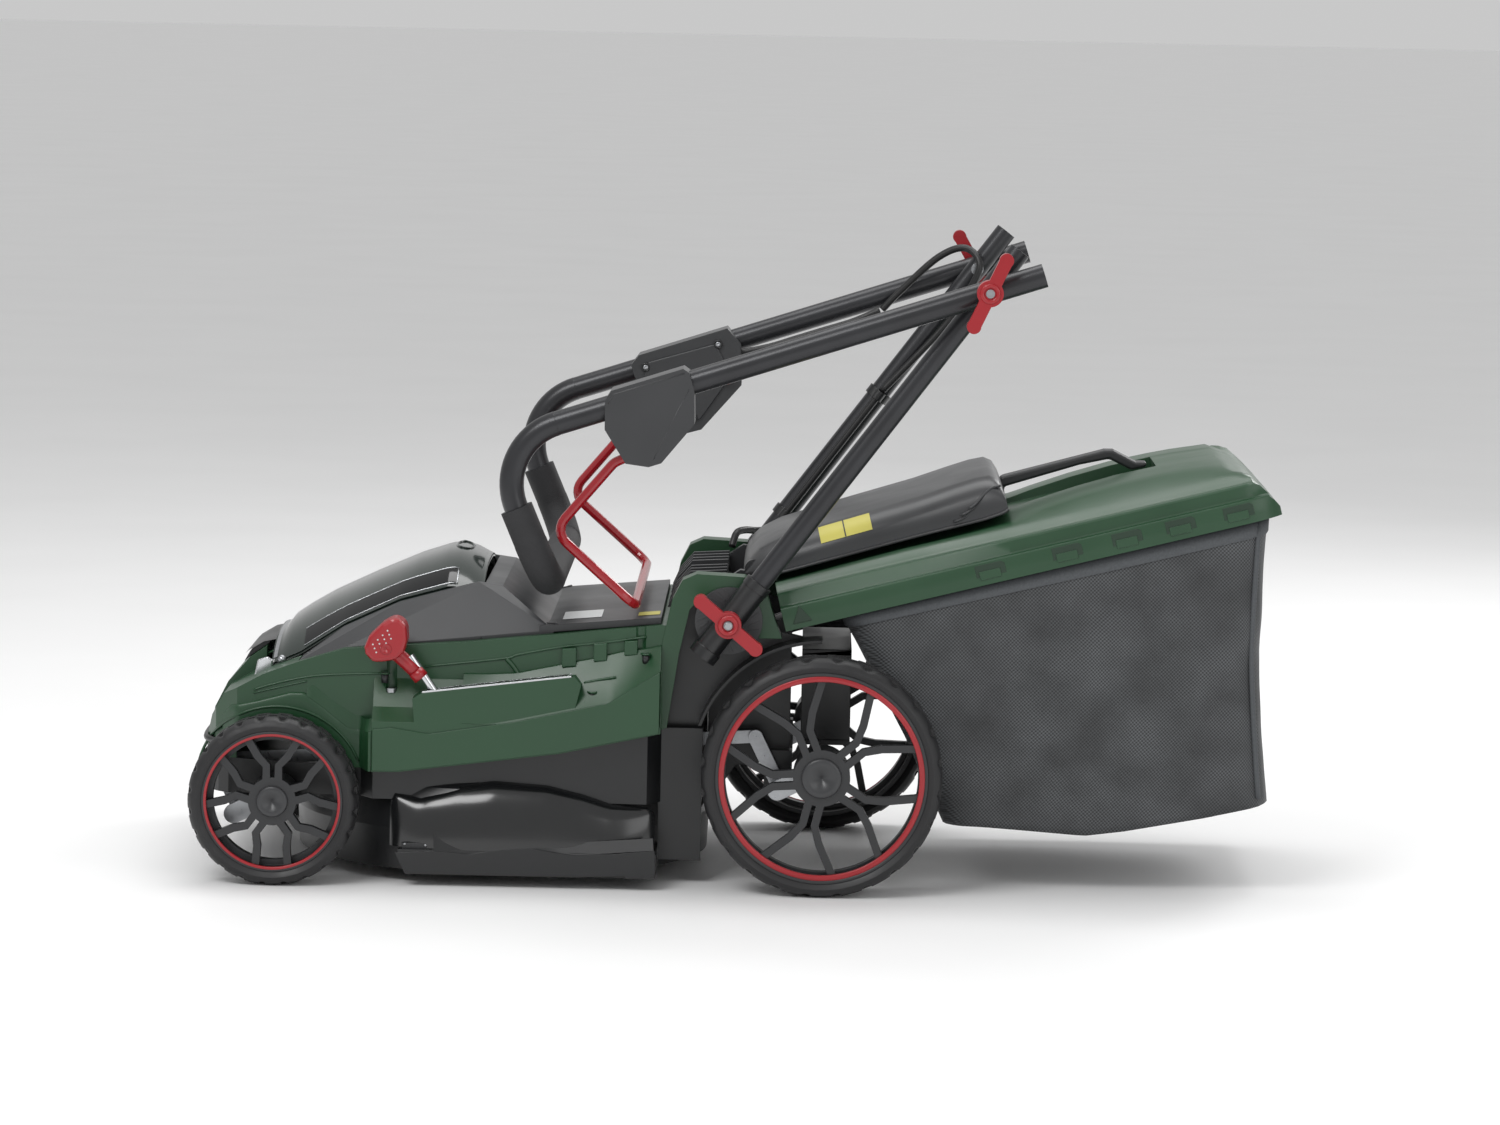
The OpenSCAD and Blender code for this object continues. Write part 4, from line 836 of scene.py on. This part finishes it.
def slack(x, y, z, amount):
    """How far the cloth stands off its flat shape: broad hollows, and folds that run down and back."""
    broad = noise.noise(Vector((x / 95, y / 80, z / 70)))
    fold = noise.noise(Vector(((x - 0.8 * z) / 34, y / 60, (z + 0.5 * x) / 120)))
    fine = noise.noise(Vector(((x + 0.6 * z) / 15, y / 30, (z - 0.4 * x) / 46)))
    return amount * (1.9 * broad + 2.1 * fold + 0.8 * fine)


def hem_to_floor(x, t):
    """Height on the bag's wall at t, from its hem (0) to its floor (1)."""
    return bag_top(x) + (along(BAG_BOTTOM, x) - bag_top(x)) * t


def make_bag():
    """The cloth shell, its hem tape and corner piping, and the frame round its mouth."""
    verts = []
    for i in range(BAG_ROWS):
        t = i / (BAG_ROWS - 1)
        front, back, half = bag_plan(t)
        for k in range(BAG_RING):
            x, y = round_plan(k, front, back, half)
            z = hem_to_floor(x, t)
            loose = math.sin(math.pi * min(1.0, max(0.0, (t - 0.03) / 0.97))) ** 0.7
            push = slack(x, y, z, loose)
            away = Vector((x - (front + back) / 2, 2.2 * y)).normalized()
            verts.append(from_rear(x + away.x * push, y + away.y * push, z))
    rows = BAG_ROWS
    for i in range(1, 9):
        s = 1 - i / 8.4
        front, back, half = bag_plan(1.0)
        for k in range(BAG_RING):
            x, y = round_plan(k, front, back, half)
            mid = (front + back) / 2
            x, y = mid + (x - mid) * s, y * s
            z = along(BAG_BOTTOM, x) - 1.5 * (1 - s) + slack(x, y, 0, 0.5) * (1 - s)
            verts.append(from_rear(x, y, z))
        rows += 1
    faces = grid_faces(rows, BAG_RING, False, True)
    faces.append(tuple(range((rows - 1) * BAG_RING, rows * BAG_RING)))
    bag = piece("bag_cloth", verts, faces, "mesh", "grass_bag", ["bag_fabric"])
    hem_rows = []
    for t, out in ((-0.004, 0.4), (-0.004, 1.4), (0.045, 1.6), (0.05, 1.0)):
        front, back, half = bag_plan(max(t, 0))
        for k in range(BAG_RING):
            x, y = round_plan(k, front - out, back + out, half + out)
            hem_rows.append(from_rear(x, y, hem_to_floor(x, t)))
    hem_faces = grid_faces(4, BAG_RING, False, True)
    hem = piece("bag_hem_tape", hem_rows, hem_faces, "tape", "grass_bag")
    for name, side in SIDES:
        path = []
        for i in range(0, BAG_ROWS, 2):
            t = i / (BAG_ROWS - 1)
            front, back, half = bag_plan(t)
            x = back - 9
            path.append(from_rear(x, side * (half - 3.4), hem_to_floor(x, t)))
        piping = f"bag_corner_piping_{name}"
        tube_along(piping, path, 0.0024, "tape", "grass_bag", 8)
    for name, y0, y1 in (("left", -82, -76), ("right", 76, 82)):
        block(
            f"bag_mouth_cheek_{name}", [(-20, 126), (26, 126), (26, 212), (-20, 208)],
            beside(1, y0), y1 - y0, "black", "grass_bag",
        )
    for name, low, high in (("sill", 122, 128), ("head", 206, 212)):
        block(
            f"bag_mouth_{name}", [(-20, low), (26, low), (26, high), (-20, high)],
            beside(1, -82), 164, "black", "grass_bag",
        )


# The bag's lid, in mm along it: its hand pocket, its hooks, and its top as (distance, height)
POCKET_FRONT, POCKET_BACK, POCKET_FLOOR = 217, 367, 44.0
HOOKS = (181, 253, 309, 359, 413)
LID_TOP = [(0, 41), (200, 47), (224, 48), (262, 53), (320, 57), (380, 56), (424, 52), (446, 38),
           (458, 20), (466, 6)]


def make_bag_lid():
    """Stepped lid of the bag: a hook band, two ledges and a crowned top with a hand pocket."""
    us = [0, 2, 12, 40, 80, 120, 160, 200, 216, 218, 230, 250, 290, 330, 366, 368, 390, 410, 424]
    us += [432, 439, 446, 452, 458, 462, 465, 466]
    half = BAG_HALF * 1000
    rows = []
    for u in us:
        top = along(LID_TOP, u)
        pull = 0.0 if u < 430 else 16 * (1 - math.sqrt(max(0.0, 1 - ((u - 430) / 37) ** 2)))
        edge = half - pull
        swell = 2.5 * math.sin(math.pi * min(1.0, max(0.0, (u - 20) / 190)))
        tier = [
            (edge, -2), (edge, 6), (edge, 17.5), (edge - 0.8, 19.2), (edge - 4.2, 20.2), (edge - 5, 21.2),
            (edge - 6 - swell, 31.5), (edge - 7.4 - swell, 33.2), (edge - 12 - swell, 34.4),
            (edge - 14 - swell, 36), (edge - 22, 41), (edge - 30, 44.5),
        ]
        crown = [(116, top - 3.2), (100, top - 1.2), (70, top), (48, top + 0.4), (46, top + 0.2),
                 (45, top), (20, top + 0.6)]
        line = [(y, min(v, top)) for y, v in tier] + [(min(y, edge - 32), v) for y, v in crown]
        if POCKET_FRONT < u < POCKET_BACK:
            line = [(y, POCKET_FLOOR if y <= 45.5 else v) for y, v in line]
        if u <= 0.5 or u >= 465.5:
            line = [(y, min(v, top if u else v)) for y, v in line]
        full = line + [(0, line[-1][1])] + [(-y, v) for y, v in reversed(line)]
        rows.append([on_bag_slope(u, y, v) for y, v in full])
    cols = len(rows[0])
    verts = [p for row in rows for p in row]
    faces = grid_faces(len(rows), cols)
    faces.append(tuple(range(cols))[::-1])
    faces.append(tuple(range((len(rows) - 1) * cols, len(rows) * cols)))
    shell = piece("bag_lid_shell", verts, faces, "green", "grass_bag", ["bag_lid"])
    face_out(shell)
    sharpen(shell, 32)
    for n, u in enumerate(HOOKS):
        for side_name, side in SIDES:
            slot_out = [(u, 5.5), (u + 28, 5.5), (u + 28, 14.5), (u + 25, 17), (u, 17)]
            block(
                f"bag_hook_slot_{n}_{side_name}", slot_out,
                on_bag_side(side, half - 2.2), 2.5, "green_inner", "grass_bag", 0.4,
            )
            block(
                f"bag_hook_{n}_{side_name}", [(u + 3, 3), (u + 23, 3), (u + 23, 11), (u + 3, 11)],
                on_bag_side(side, half - 1), 2.2, "green", "grass_bag", 0.7,
            )
    for side_name, side in SIDES:
        block(
            f"bag_lid_gusset_{side_name}", [(8, 3), (26, 3), (17, 19)],
            on_bag_side(side, half - 0.4), 1.2, "green_inner", "grass_bag", 0.3,
        )


def make_bag_handle():
    """Carrying bar: it leaves the lid below the flap and lands on a foot that splays at the rear."""
    outline = [(224, 52), (226, 66), (300, 70), (328, 69), (346, 54), (360, 53.5), (362, 58), (352, 60.5),
               (334, 76), (326, 78), (226, 76), (220, 70)]
    block(
        "bag_carrying_bar", outline, on_bag_side(1, -11), 22, "charcoal", "grass_bag", 2.4,
        ["bag_handle"],
    )


# ------------------------------------------------------------------ flap

# The flap's middle and its hem, as (distance along the bag's slope, height) in mm
FLAP_MID = [(-27, 57), (-20, 66), (-8, 73), (13, 78), (56, 81), (144, 85.5), (180, 89), (200, 90.5),
            (214, 90), (221, 85), (224, 76)]
FLAP_HEM = [(-27, 46), (14, 46), (132, 50), (204, 51), (220, 53), (224, 55)]


FLAP_CROWN = 0.74
FLAP_FALL = 1.5


def flap_half(u):
    """Half width of the flap, drawn in towards its hinge."""
    return 120.0 if u > -10 else 120 - 8 * ((-10 - u) / 17) ** 2


def flap_point(u, y):
    """Outer face of the flap: a dome, with rolled shoulders outside its crown; y runs from -1 to 1."""
    low, high, edge = along(FLAP_HEM, u), along(FLAP_MID, u), flap_half(u)
    s = min(abs(y), 1.0)
    if s <= FLAP_CROWN:
        return on_bag_slope(u, edge * y, high - FLAP_FALL * (s / FLAP_CROWN) ** 2)
    shoulder = 1 - FLAP_CROWN
    turn = (s - FLAP_CROWN) / shoulder * math.pi / 2
    v = (high - FLAP_FALL) + (low + 7 - high + FLAP_FALL) * (1 - math.cos(turn))
    return on_bag_slope(u, math.copysign(edge * (FLAP_CROWN + shoulder * math.sin(turn)), y), v)


def make_flap():
    """The flap's shell and end wall, its side steps, hem bead and notice."""
    us = [-27, -26, -22, -16, -8, 0, 13, 30, 56, 90, 120, 144]
    us += [165, 180, 192, 200, 208, 214, 218, 221, 223, 224]
    ys = [-1 + j / 40 for j in range(81)]
    verts = []
    for u in us:
        low, edge = along(FLAP_HEM, u), flap_half(u)
        line = [on_bag_slope(u, -edge, low), on_bag_slope(u, -edge, low + 4)]
        line += [flap_point(u, y) for y in ys]
        line += [on_bag_slope(u, edge, low + 4), on_bag_slope(u, edge, low)]
        verts += line
    cols = len(ys) + 4
    faces = grid_faces(len(us), cols, flip=True)
    shell = piece("flap_shell", verts, faces, "grey", "flap", ["rear_flap"])
    skin = shell.modifiers.new("wall", "SOLIDIFY")
    skin.thickness, skin.offset = 0.0026, -1
    face_out(shell)
    face_line = [flap_point(224, y) for y in ys]
    hem_line = [on_bag_slope(224.0, 120 * y, 55) for y in ys]
    piece(
        "flap_end_wall", face_line + hem_line, grid_faces(2, len(ys)), "grey", "flap",
    )
    for n, (drop, reach) in enumerate(((4, 172), (9, 180), (14, 188))):
        for side_name, side in SIDES:
            path = []
            for i in range(12):
                u = reach + (222 - reach) * i / 11
                rise = 20 * eased(min(1.0, i / 9))
                v = 53 + drop * 0.9 + rise * (0.45 + 0.1 * n)
                path.append(on_bag_slope(u, side * (121.4 - rise * 0.5 + n * 0.3), v))
            tube_along(f"flap_step_{n}_{side_name}", path, 0.0012, "grey", "flap", 8)
    border = [on_bag_slope(u, 120.4, along(FLAP_HEM, u) + 1.5) for u in us[4:]]
    for side_name, side in SIDES:
        path = [Vector((p.x, side * p.y, p.z)) for p in border]
        tube_along(f"flap_hem_bead_{side_name}", path, 0.0016, "grey", "flap", 8)
    across = [-0.80 - 0.13 * j / 4 for j in range(5)]
    film = [[flap_point(49 + 49 * i / 8, y) for y in across] for i in range(9)]
    label("flap_notice", film, "yellow", "flap", 0.0006)
    film = [[flap_point(72 + 1.2 * i, y) for y in across] for i in range(2)]
    label("flap_notice_line", film, "charcoal", "flap", 0.0009)


def label(name, rows, finish, body, lift):
    """A thin film that lies on a face, given rows of points on that face."""
    cols = len(rows[0])
    verts = [p for row in rows for p in row]
    obj = piece(name, verts, grid_faces(len(rows), cols), finish, body)
    fix = bmesh.new()
    fix.from_mesh(obj.data)
    bmesh.ops.recalc_face_normals(fix, faces=fix.faces)
    up = sum((f.normal.z - f.normal.y for f in fix.faces))
    if up < 0:
        bmesh.ops.reverse_faces(fix, faces=fix.faces)
    fix.normal_update()
    for v in fix.verts:
        v.co += v.normal * lift
    fix.to_mesh(obj.data)
    fix.free()
    return obj


# ------------------------------------------------------------------ cover, deck and hood details

# Lines of the cover's side, as (x from the rear axle, z) in mm
UPPER_CREASE = [(-523, 173), (-504, 179), (-474, 186), (-445, 189), (-400, 191)]
LOWER_CREASE = [(-523, 170), (-495, 177), (-474, 182)]
FENDER_STEP = [(-552, 146), (-545, 156), (-518, 162), (-489, 170), (-476, 170), (-459, 158), (-445, 147),
               (-436, 140), (-428, 138), (-418, 139), (-412, 141)]
FENDER_RIDGE = [(-476, 175), (-468, 179), (-451, 165), (-430, 152), (-418, 150), (-412, 151)]
PANEL_LEDGE = [(-411, 143), (-393, 145), (-386, 144), (-360, 140), (-281, 153), (-196, 172),
               (-168, 190), (-149, 202)]
SHELF = [(-330, 192), (-281, 194), (-240, 203), (-211, 209), (-184, 216), (-163, 219), (-149, 222)]
SHELF_TOP = [(-366, 198), (-294, 207), (-280, 211), (-240, 219), (-200, 224), (-163, 230)]
ARCH_X, ARCH_Z, ARCH_R, LIP_R = -500, 77.5, 67.5, 81
CREASE_Y = 160.2
PANEL_FRONT, PANEL_L, PANEL_Y = -411.6, 262.4, 186.8
SEAM = [(-571, 110), (-431, 103.5), (-387, 104.5), (-240, 124.5), (-149, 144.5)]


def cover_half(x):
    """Half width of the cover's nose."""
    return along([(-571, 105), (-560, 135), (-538, 160), (0, 160)], x)


def fender_half(x):
    """The fender's skin stands off the cover and swells out to the side panel."""
    if x < -425:
        return cover_half(x) + 3
    return 163 + 25.6 * eased(min(1.0, (x + 425) / 11))


def ridge(name, line, y, radius, finish="green", steps=5):
    """A fine moulded crease through (x, z) places; y is one distance or one for each place."""
    ys = y if isinstance(y, list) else [y] * len(line)
    path = smooth_path([from_rear(x, yy, z) for (x, z), yy in zip(line, ys)], steps)
    return tube_along(name, path, radius, finish, "chassis", 8)


def loft(name, rows, finish, body="chassis", stands_for=(), up=(0, 0, 1)):
    """A skin through rows of points, turned so that its outer face looks up or out."""
    verts = [p for row in rows for p in row]
    obj = piece(name, verts, grid_faces(len(rows), len(rows[0])), finish, body, stands_for)
    total = Vector((0, 0, 0))
    for poly in obj.data.polygons:
        total += poly.normal * poly.area
    if total.dot(Vector(up)) < 0:
        obj.data.flip_normals()
    return obj


def make_fenders():
    """Skins over the front wheels with their facet, creases and arch lip."""
    for name, side in SIDES:
        out = (0, side, 0.3)
        rows = []
        for i in range(57):
            x = -552 + 139.6 * i / 56
            top = along(FENDER_STEP, x)
            low = along(SEAM, x)
            if abs(x - ARCH_X) < ARCH_R - 0.1:
                low = max(low, ARCH_Z + math.sqrt(ARCH_R ** 2 - (x - ARCH_X) ** 2))
            low = min(low, top - 1)
            y = fender_half(x)
            row = [from_rear(x, side * (y - 3.2), top + 1.8), from_rear(x, side * (y - 0.9), top + 1.2)]
            for j in range(6):
                swell = 0.5 * math.sin(math.pi * j / 5)
                row.append(from_rear(x, side * (y + swell), top + (low - top) * j / 5))
            rows.append(row)
        sharpen(loft(f"fender_skin_{name}", rows, "green", up=out), 40)
        facet = []
        for i in range(25):
            x = -474 + 62 * i / 24
            low, high = along(FENDER_STEP, x), along(FENDER_RIDGE, x)
            y = fender_half(x)
            facet.append([from_rear(x, side * y, low + 0.6), from_rear(x, side * (min(y, 176) - 2.9), high)])
        loft(f"fender_facet_{name}", facet, "green", up=(0, side, 1))
        ridge(f"upper_crease_{name}", UPPER_CREASE, side * CREASE_Y, 0.0011)
        ridge(f"lower_crease_{name}", LOWER_CREASE, side * CREASE_Y, 0.0009)
        lip = []
        for k in range(29):
            a = math.radians(166 - 5.1 * k)
            x, z = ARCH_X + LIP_R * math.cos(a), ARCH_Z + LIP_R * math.sin(a)
            lip.append(from_rear(x, side * (fender_half(x) + 0.4), z))
        tube_along(f"arch_lip_{name}", lip, 0.0014, "green", "chassis", 8)


def make_side_panels():
    """Green panels between the wheels, with the shelf, its bosses and the screw wells."""
    for name, side in SIDES:
        n = 40
        ledge = [PANEL_FRONT + PANEL_L * i / n for i in range(n + 1)]
        outline = [(x, along(PANEL_LEDGE, x)) for x in ledge]
        outline += [(x, along(SEAM, x) + 0.3) for x in reversed(ledge)]
        panel = f"side_panel_{name}"
        block(panel, outline, beside(side, PANEL_Y), 2.7, "green", "chassis", 0.9)
        rows = []
        for i in range(40):
            x = -330 + 181 * i / 39
            w = eased(min(1.0, (x + 330) / 49))
            low = (188.4 + 0.8 * w, 150.2 + (along(PANEL_LEDGE, x) - 150.2) * w)
            high = (163.3, 192.2 + (along(SHELF, x) - 192.2) * w)
            mid = ((low[0] + high[0]) / 2, (low[1] + high[1]) / 2 - 3)
            mid = (174.2 + (mid[0] - 174.2) * w, 162.4 + (mid[1] - 162.4) * w)
            rows.append([from_rear(x, side * y, z) for y, z in (low, mid, high, (159.8, high[1] + 0.8))])
        rows.append([from_rear(-148.6, side * y, 146) for y in (188, 176, 163.3, 159.8)])
        sharpen(loft(f"side_shelf_{name}", rows, "green", up=(0, side, 1)), 32)
        bosses = ((-240, -227, 201, 218), (-211, -199, 207, 223), (-183, -171, 213, 226))
        for n, (x0, x1, z0, z1) in enumerate(bosses):
            block(
                f"shelf_boss_{n}_{name}", [(x0, z0), (x1, z0 + 1), (x1, z1 + 1), (x0, z1)],
                beside(side, 159), 7.5, "green", "chassis", 0.8,
            )
        ridge(f"shelf_top_line_{name}", SHELF_TOP, side * CREASE_Y, 0.0012)
        ridge(f"shelf_rib_{name}", [(-291, 207), (-284, 199), (-278, 189)], side * 160.4, 0.0024)
        groove = [(-219, 188), (-205, 191.5), (-190, 194.5)]
        ridge(f"shelf_groove_{name}", groove, [side * y for y in (173.6, 174.4, 176)], 0.0011)
        for n, (x, y, z) in enumerate(((-163, 170, 215.5), (-211, 179, 180.5), (-402, 166, 192))):
            well = [from_rear(x, side * y, z - 9), from_rear(x, side * y, z + 0.4)]
            tube_along(f"screw_well_{n}_{name}", well, 0.0034, "black", "chassis", 20)
            rim = [from_rear(x + 4.2 * math.cos(a), side * (y + 4.2 * math.sin(a)), z) for a in
                   [2 * math.pi * k / 24 for k in range(25)]]
            tube_along(f"screw_well_rim_{n}_{name}", rim, 0.0009, "green", "chassis", 6)


def make_nose():
    """Bumper strip round the nose, a raised V on the crown and the lid's bright hinge feet."""
    outline = [(-541, -157), (-560, -137), (-571.5, -106), (-572.5, 0), (-571.5, 106), (-560, 137)]
    outline.append((-541, 157))
    nose = [from_rear(x, y, 122) for x, y in outline]
    tube_along("nose_bumper", smooth_path(nose, 8), 0.003, "black", "chassis", 10)
    for name, side in SIDES:
        edge = [(-544, 181), (-526, 191), (-509, 200)]
        ridge(f"crown_crease_{name}", edge, [side * y for y in (60, 64, 69)], 0.001)
        block(
            f"lid_hinge_foot_{name}", [(-527, 180), (-511, 184), (-510, 195), (-515, 198), (-524, 195)],
            beside(side, 111.5), 5, "chrome", "chassis", 1.2,
        )
    section = ((-541.5, 193), (-538, 196.5), (-524, 205), (-510, 208.2), (-500, 208))
    strip = []
    for i in range(9):
        y = -62 + 124 * i / 8
        strip.append([from_rear(x, y, z) for x, z in section])
    loft("crown_grip_strip", strip, "black")


def make_hood_prints():
    """Two plain films on the hood and a fine line down each flank."""
    def film(name, x0, x1, y0, y1, finish):
        rows = []
        for i in range(3):
            x = x0 + (x1 - x0) * i / 2
            rows.append([from_rear(x, y, 237 + (x + 262) * 10 / 112) for y in (y0, y1)])
        label(name, rows, finish, "chassis", 0.0004)

    film("hood_notice", -242, -206, -118, -62, "white")
    film("hood_sticker", -172, -152, -128, -102, "yellow")
    for name, side in SIDES:
        line = [(-316, 224), (-296, 250), (-262, 238.5), (-246, 239)]
        ys = [side * y for y in (150.4, 131, 133, 149)]
        ridge(f"hood_facet_line_{name}", line, ys, 0.0009, "grey")


BULGE_FRONT, BULGE_L, BLADE_X = -395, 243, -300
BULGE_Y, BULGE_OUT, BULGE_LOW = 169.5, 25, 34


def make_deck_skin():
    """The bulge over the blade's circle, the plates below it and their latch."""
    top_line = [(-395, 74), (-393, 82), (-368, 79), (-360, 82), (-330, 91), (-300, 95), (-251, 92),
                (-217, 84), (-193, 76), (-154, 72), (-152, 66)]
    for name, side in SIDES:
        rows = []
        for i in range(61):
            x = BULGE_FRONT + BULGE_L * i / 60
            reach = (x - BLADE_X) / (95.5 if x < BLADE_X else 149)
            full = BULGE_Y + 2 + BULGE_OUT * math.sqrt(max(0.0, 1 - reach * reach))
            top = along(top_line, x)
            row = [from_rear(x, side * (BULGE_Y - 1), top + 0.5)]
            for j in range(15):
                a = math.pi / 2 * j / 14
                y = BULGE_Y + (full - BULGE_Y) * math.sin(a) ** 0.9
                row.append(from_rear(x, side * y, top - (top - BULGE_LOW) * (1 - math.cos(a))))
            rows.append(row)
        loft(f"deck_bulge_{name}", rows, "gloss_black", up=(0, side, 0.5))
        outline = [(-389, 31), (-357, 33), (-340, 32.4), (-320, 31), (-305, 34), (-290, 36), (-275, 37),
                   (-260, 37), (-240, 34), (-223, 32), (-190, 34), (-151, 38), (-150, 18), (-151, 12),
                   (-177, 11), (-178, 13.5), (-224, 11.4), (-379, 11.2)]

        def splayed(a, b, d, side=side):
            return from_rear(a, side * (193.4 + d + 0.1 * (33 - b) * 0.3), b)

        block(f"skirt_plate_{name}", outline, splayed, 3.2, "black", "chassis", 0.8)
        shelf = []
        low = [(-353, 49), (-319, 46), (-290, 43), (-238, 42), (-146, 49)]
        foot = [(-357, 33), (-340, 32.4), (-320, 31), (-290, 36), (-260, 37), (-223, 32), (-151, 38)]
        for i in range(31):
            x = -353 + 201 * i / 30
            z = along(low, x)
            shelf.append([
                from_rear(x, side * 196.4, along(foot, x)), from_rear(x - 1, side * 191.2, z),
                from_rear(x - 1, side * 189.6, z - 0.6),
            ])
        sharpen(loft(f"skirt_ledge_{name}", shelf, "black", up=(0, side, 0.5)), 30)
        block(
            f"skirt_latch_{name}", [(-383, 32), (-358, 33), (-358, 39), (-383, 39)],
            beside(side, 182), 9, "charcoal", "chassis", 0.9,
        )
        for n, (x, z) in enumerate(((-380, 38), (-361, 37))):
            lathe(
                f"latch_rivet_{n}_{name}", from_rear(x, side * 191.2, z),
                [(0.01, 0.5), (1.1, 0.2), (1.3, -0.6), (0.01, -0.6)],
                "zinc", "chassis", side, 16,
            )


GRIP_Y, NECK_Y = -195.5, -180


def make_lever_grip():
    """Hammer-headed grip: a faceted head with a thumb ring and dimples, on a neck with a collar."""
    head = [(-419, 219), (-418, 213), (-411, 205.5), (-402, 206), (-390, 208), (-383, 215), (-380, 226),
            (-381, 240), (-387, 246), (-394, 246.5), (-403, 241), (-415, 229)]
    block(
        "lever_grip_head", head, beside(1, GRIP_Y), 31, "red", "lever", 4.2, ["lever_grip"],
    )
    neck = [from_rear(x, NECK_Y, z) for x, z in ((-398, 222), (-389, 211), (-380, 203), (-371, 194.5))]
    tube_along("lever_grip_neck", neck, 0.0068, "red", "lever", 20)
    collar = [from_rear(x, NECK_Y, z) for x, z in ((-373, 196.4), (-367.5, 190))]
    tube_along("lever_grip_collar", collar, 0.0074, "red", "lever", 20)
    lathe(
        "lever_thumb_hole", from_rear(-399, GRIP_Y - 0.1, 218),
        [(0.01, 0.2), (3.6, 0.2), (4.6, 0.9), (5.2, 0.2), (5.2, -0.6), (0.01, -0.6)],
        "red", "lever", -1, 28,
    )
    for n in range(12):
        row, col = n % 3, n // 3
        x, z = -411 + 4.4 * col + 1.6 * row, 222 + 4.3 * col - 3.6 * row
        dimple = [(0.01, 0.15), (0.7, 0.35), (0.9, -0.4), (0.01, -0.4)]
        place = from_rear(x, GRIP_Y - 0.1, z)
        lathe(f"lever_dimple_{n}", place, dimple, "white", "lever", -1, 10)


# ------------------------------------------------------------------ handle details


def bolt_head(name, centre, side, width, depth, body):
    """Hexagon head on the end of a bolt that runs across."""
    corners = [math.radians(60 * k) for k in range(6)]
    outline = [(width / 2 * math.cos(a), width / 2 * math.sin(a)) for a in corners]

    def place(a, b, d):
        return centre + Vector((a, side * d, b)) / 1000

    block(name, outline, place, depth, "zinc", body, 0.7)


def make_handle_details():
    """Knob rings and bolt ends, teeth on the discs, and the marks on the two boxes."""
    for side_name, side in SIDES:
        knobs = (("pivot", PIVOT, 0.2025, "lower_handle"), ("fold", FOLD, 0.2215, "upper_handle"))
        for stem, place, y, handle in knobs:
            centre = Vector((place.x, side * (y - 0.0006), place.z))
            lathe(
                f"{stem}_knob_ring_{side_name}", centre,
                [(5.2, -1), (5.2, 1.4), (6.2, 2.4), (8.4, 2.4), (9.4, 1.4), (9.4, -1)],
                "red", f"{stem}_knob_{side_name[0]}", side, 40,
            )
            bolt_head(f"{stem}_bolt_end_{side_name}", centre, side, 7.6, 1.6, handle)
        teeth = []
        centre = Vector((PIVOT.x, side * 0.1612, PIVOT.z))
        for k in range(22):
            a = 2 * math.pi * k / 22
            p = [Vector((r * math.cos(a + b), side * 3.7, r * math.sin(a + b))) / 1000 + centre for r, b in
                 ((18.5, 0.0), (28.6, 0.22), (28.6, 0.32), (18.5, 0.1))]
            teeth.append((p, [v - Vector((0, side * 0.0006, 0)) for v in p]))
        verts, faces = [], []
        for p, q in teeth:
            k = len(verts)
            verts += p + q
            faces += [(k, k + 1, k + 2, k + 3), (k, k + 4, k + 5, k + 1), (k + 1, k + 5, k + 6, k + 2),
                      (k + 2, k + 6, k + 7, k + 3), (k + 3, k + 7, k + 4, k)]
        piece(f"disc_teeth_{side_name}", verts, faces, "grey", "chassis", (), False)
    # One box has a diagonal crease and a moulded circle, the other a raised panel with screws
    ring = [on_upper(318 + 3 * math.cos(a), -211.4, -32 + 3 * math.sin(a)) for a in
            [2 * math.pi * k / 24 for k in range(25)]]
    tube_along("near_box_mark", ring, 0.0004, "grey", "upper_handle", 6)
    crease = [on_upper(u, -211.3, v) for u, v in ((284, -4), (310, -30), (334, -56))]
    tube_along("near_box_crease", crease, 0.0009, "grey", "upper_handle", 8)
    rim = [on_upper(u, -211.2, v) for u, v in ((284, 11), (351, 11), (358, 5))]
    tube_along("near_box_rim", rim, 0.0012, "grey", "upper_handle", 8)
    inner_y = 196 + 15 - 44
    panel = [(258, -30), (264, 4), (332, 6), (340, -6), (330, -40), (318, -60), (300, -62)]
    block(
        "far_box_panel", panel, lambda a, b, d: on_upper(a, inner_y - d, b), 1.6,
        "grey", "upper_handle", 0.8,
    )
    for n, (u, v) in enumerate(((336, 2), (262, 3), (306, -58), (330, -36))):
        centre = on_upper(u, inner_y - 1.4, v)
        head = [(0.01, 0.4), (2.2, 0.4), (2.6, 0.0), (2.6, -1.0), (0.01, -1.0)]
        lathe(f"far_box_screw_{n}", centre, head, "zinc", "upper_handle", -1, 24)
        well = [(2.8, 0.2), (3.0, 0.9), (4.2, 0.9), (4.4, 0.2), (4.4, -0.8), (2.8, -0.8)]
        lathe(f"far_box_well_{n}", centre, well, "black", "upper_handle", -1, 24)


# ------------------------------------------------------------------ floor


def make_floor():
    """A flat stage, wide enough to have no edge in view."""
    size = 90.0
    mesh = bpy.data.meshes.new("floor")
    corners = [(-size, -size, 0), (size, -size, 0), (size, size, 0), (-size, size, 0)]
    mesh.from_pydata(corners, [], [(0, 1, 2, 3)])
    floor = bpy.data.objects.new("floor", mesh)
    mesh.materials.append(seamless_paper())
    bpy.context.scene.collection.objects.link(floor)


make_camera()
make_lights()
make_floor()
finish_nodes()
make_wheels()
make_lid()
make_cables()
make_bag()
make_bag_lid()
make_bag_handle()
make_flap()
make_fenders()
make_side_panels()
make_nose()
make_hood_prints()
make_deck_skin()
make_lever_grip()
make_handle_details()
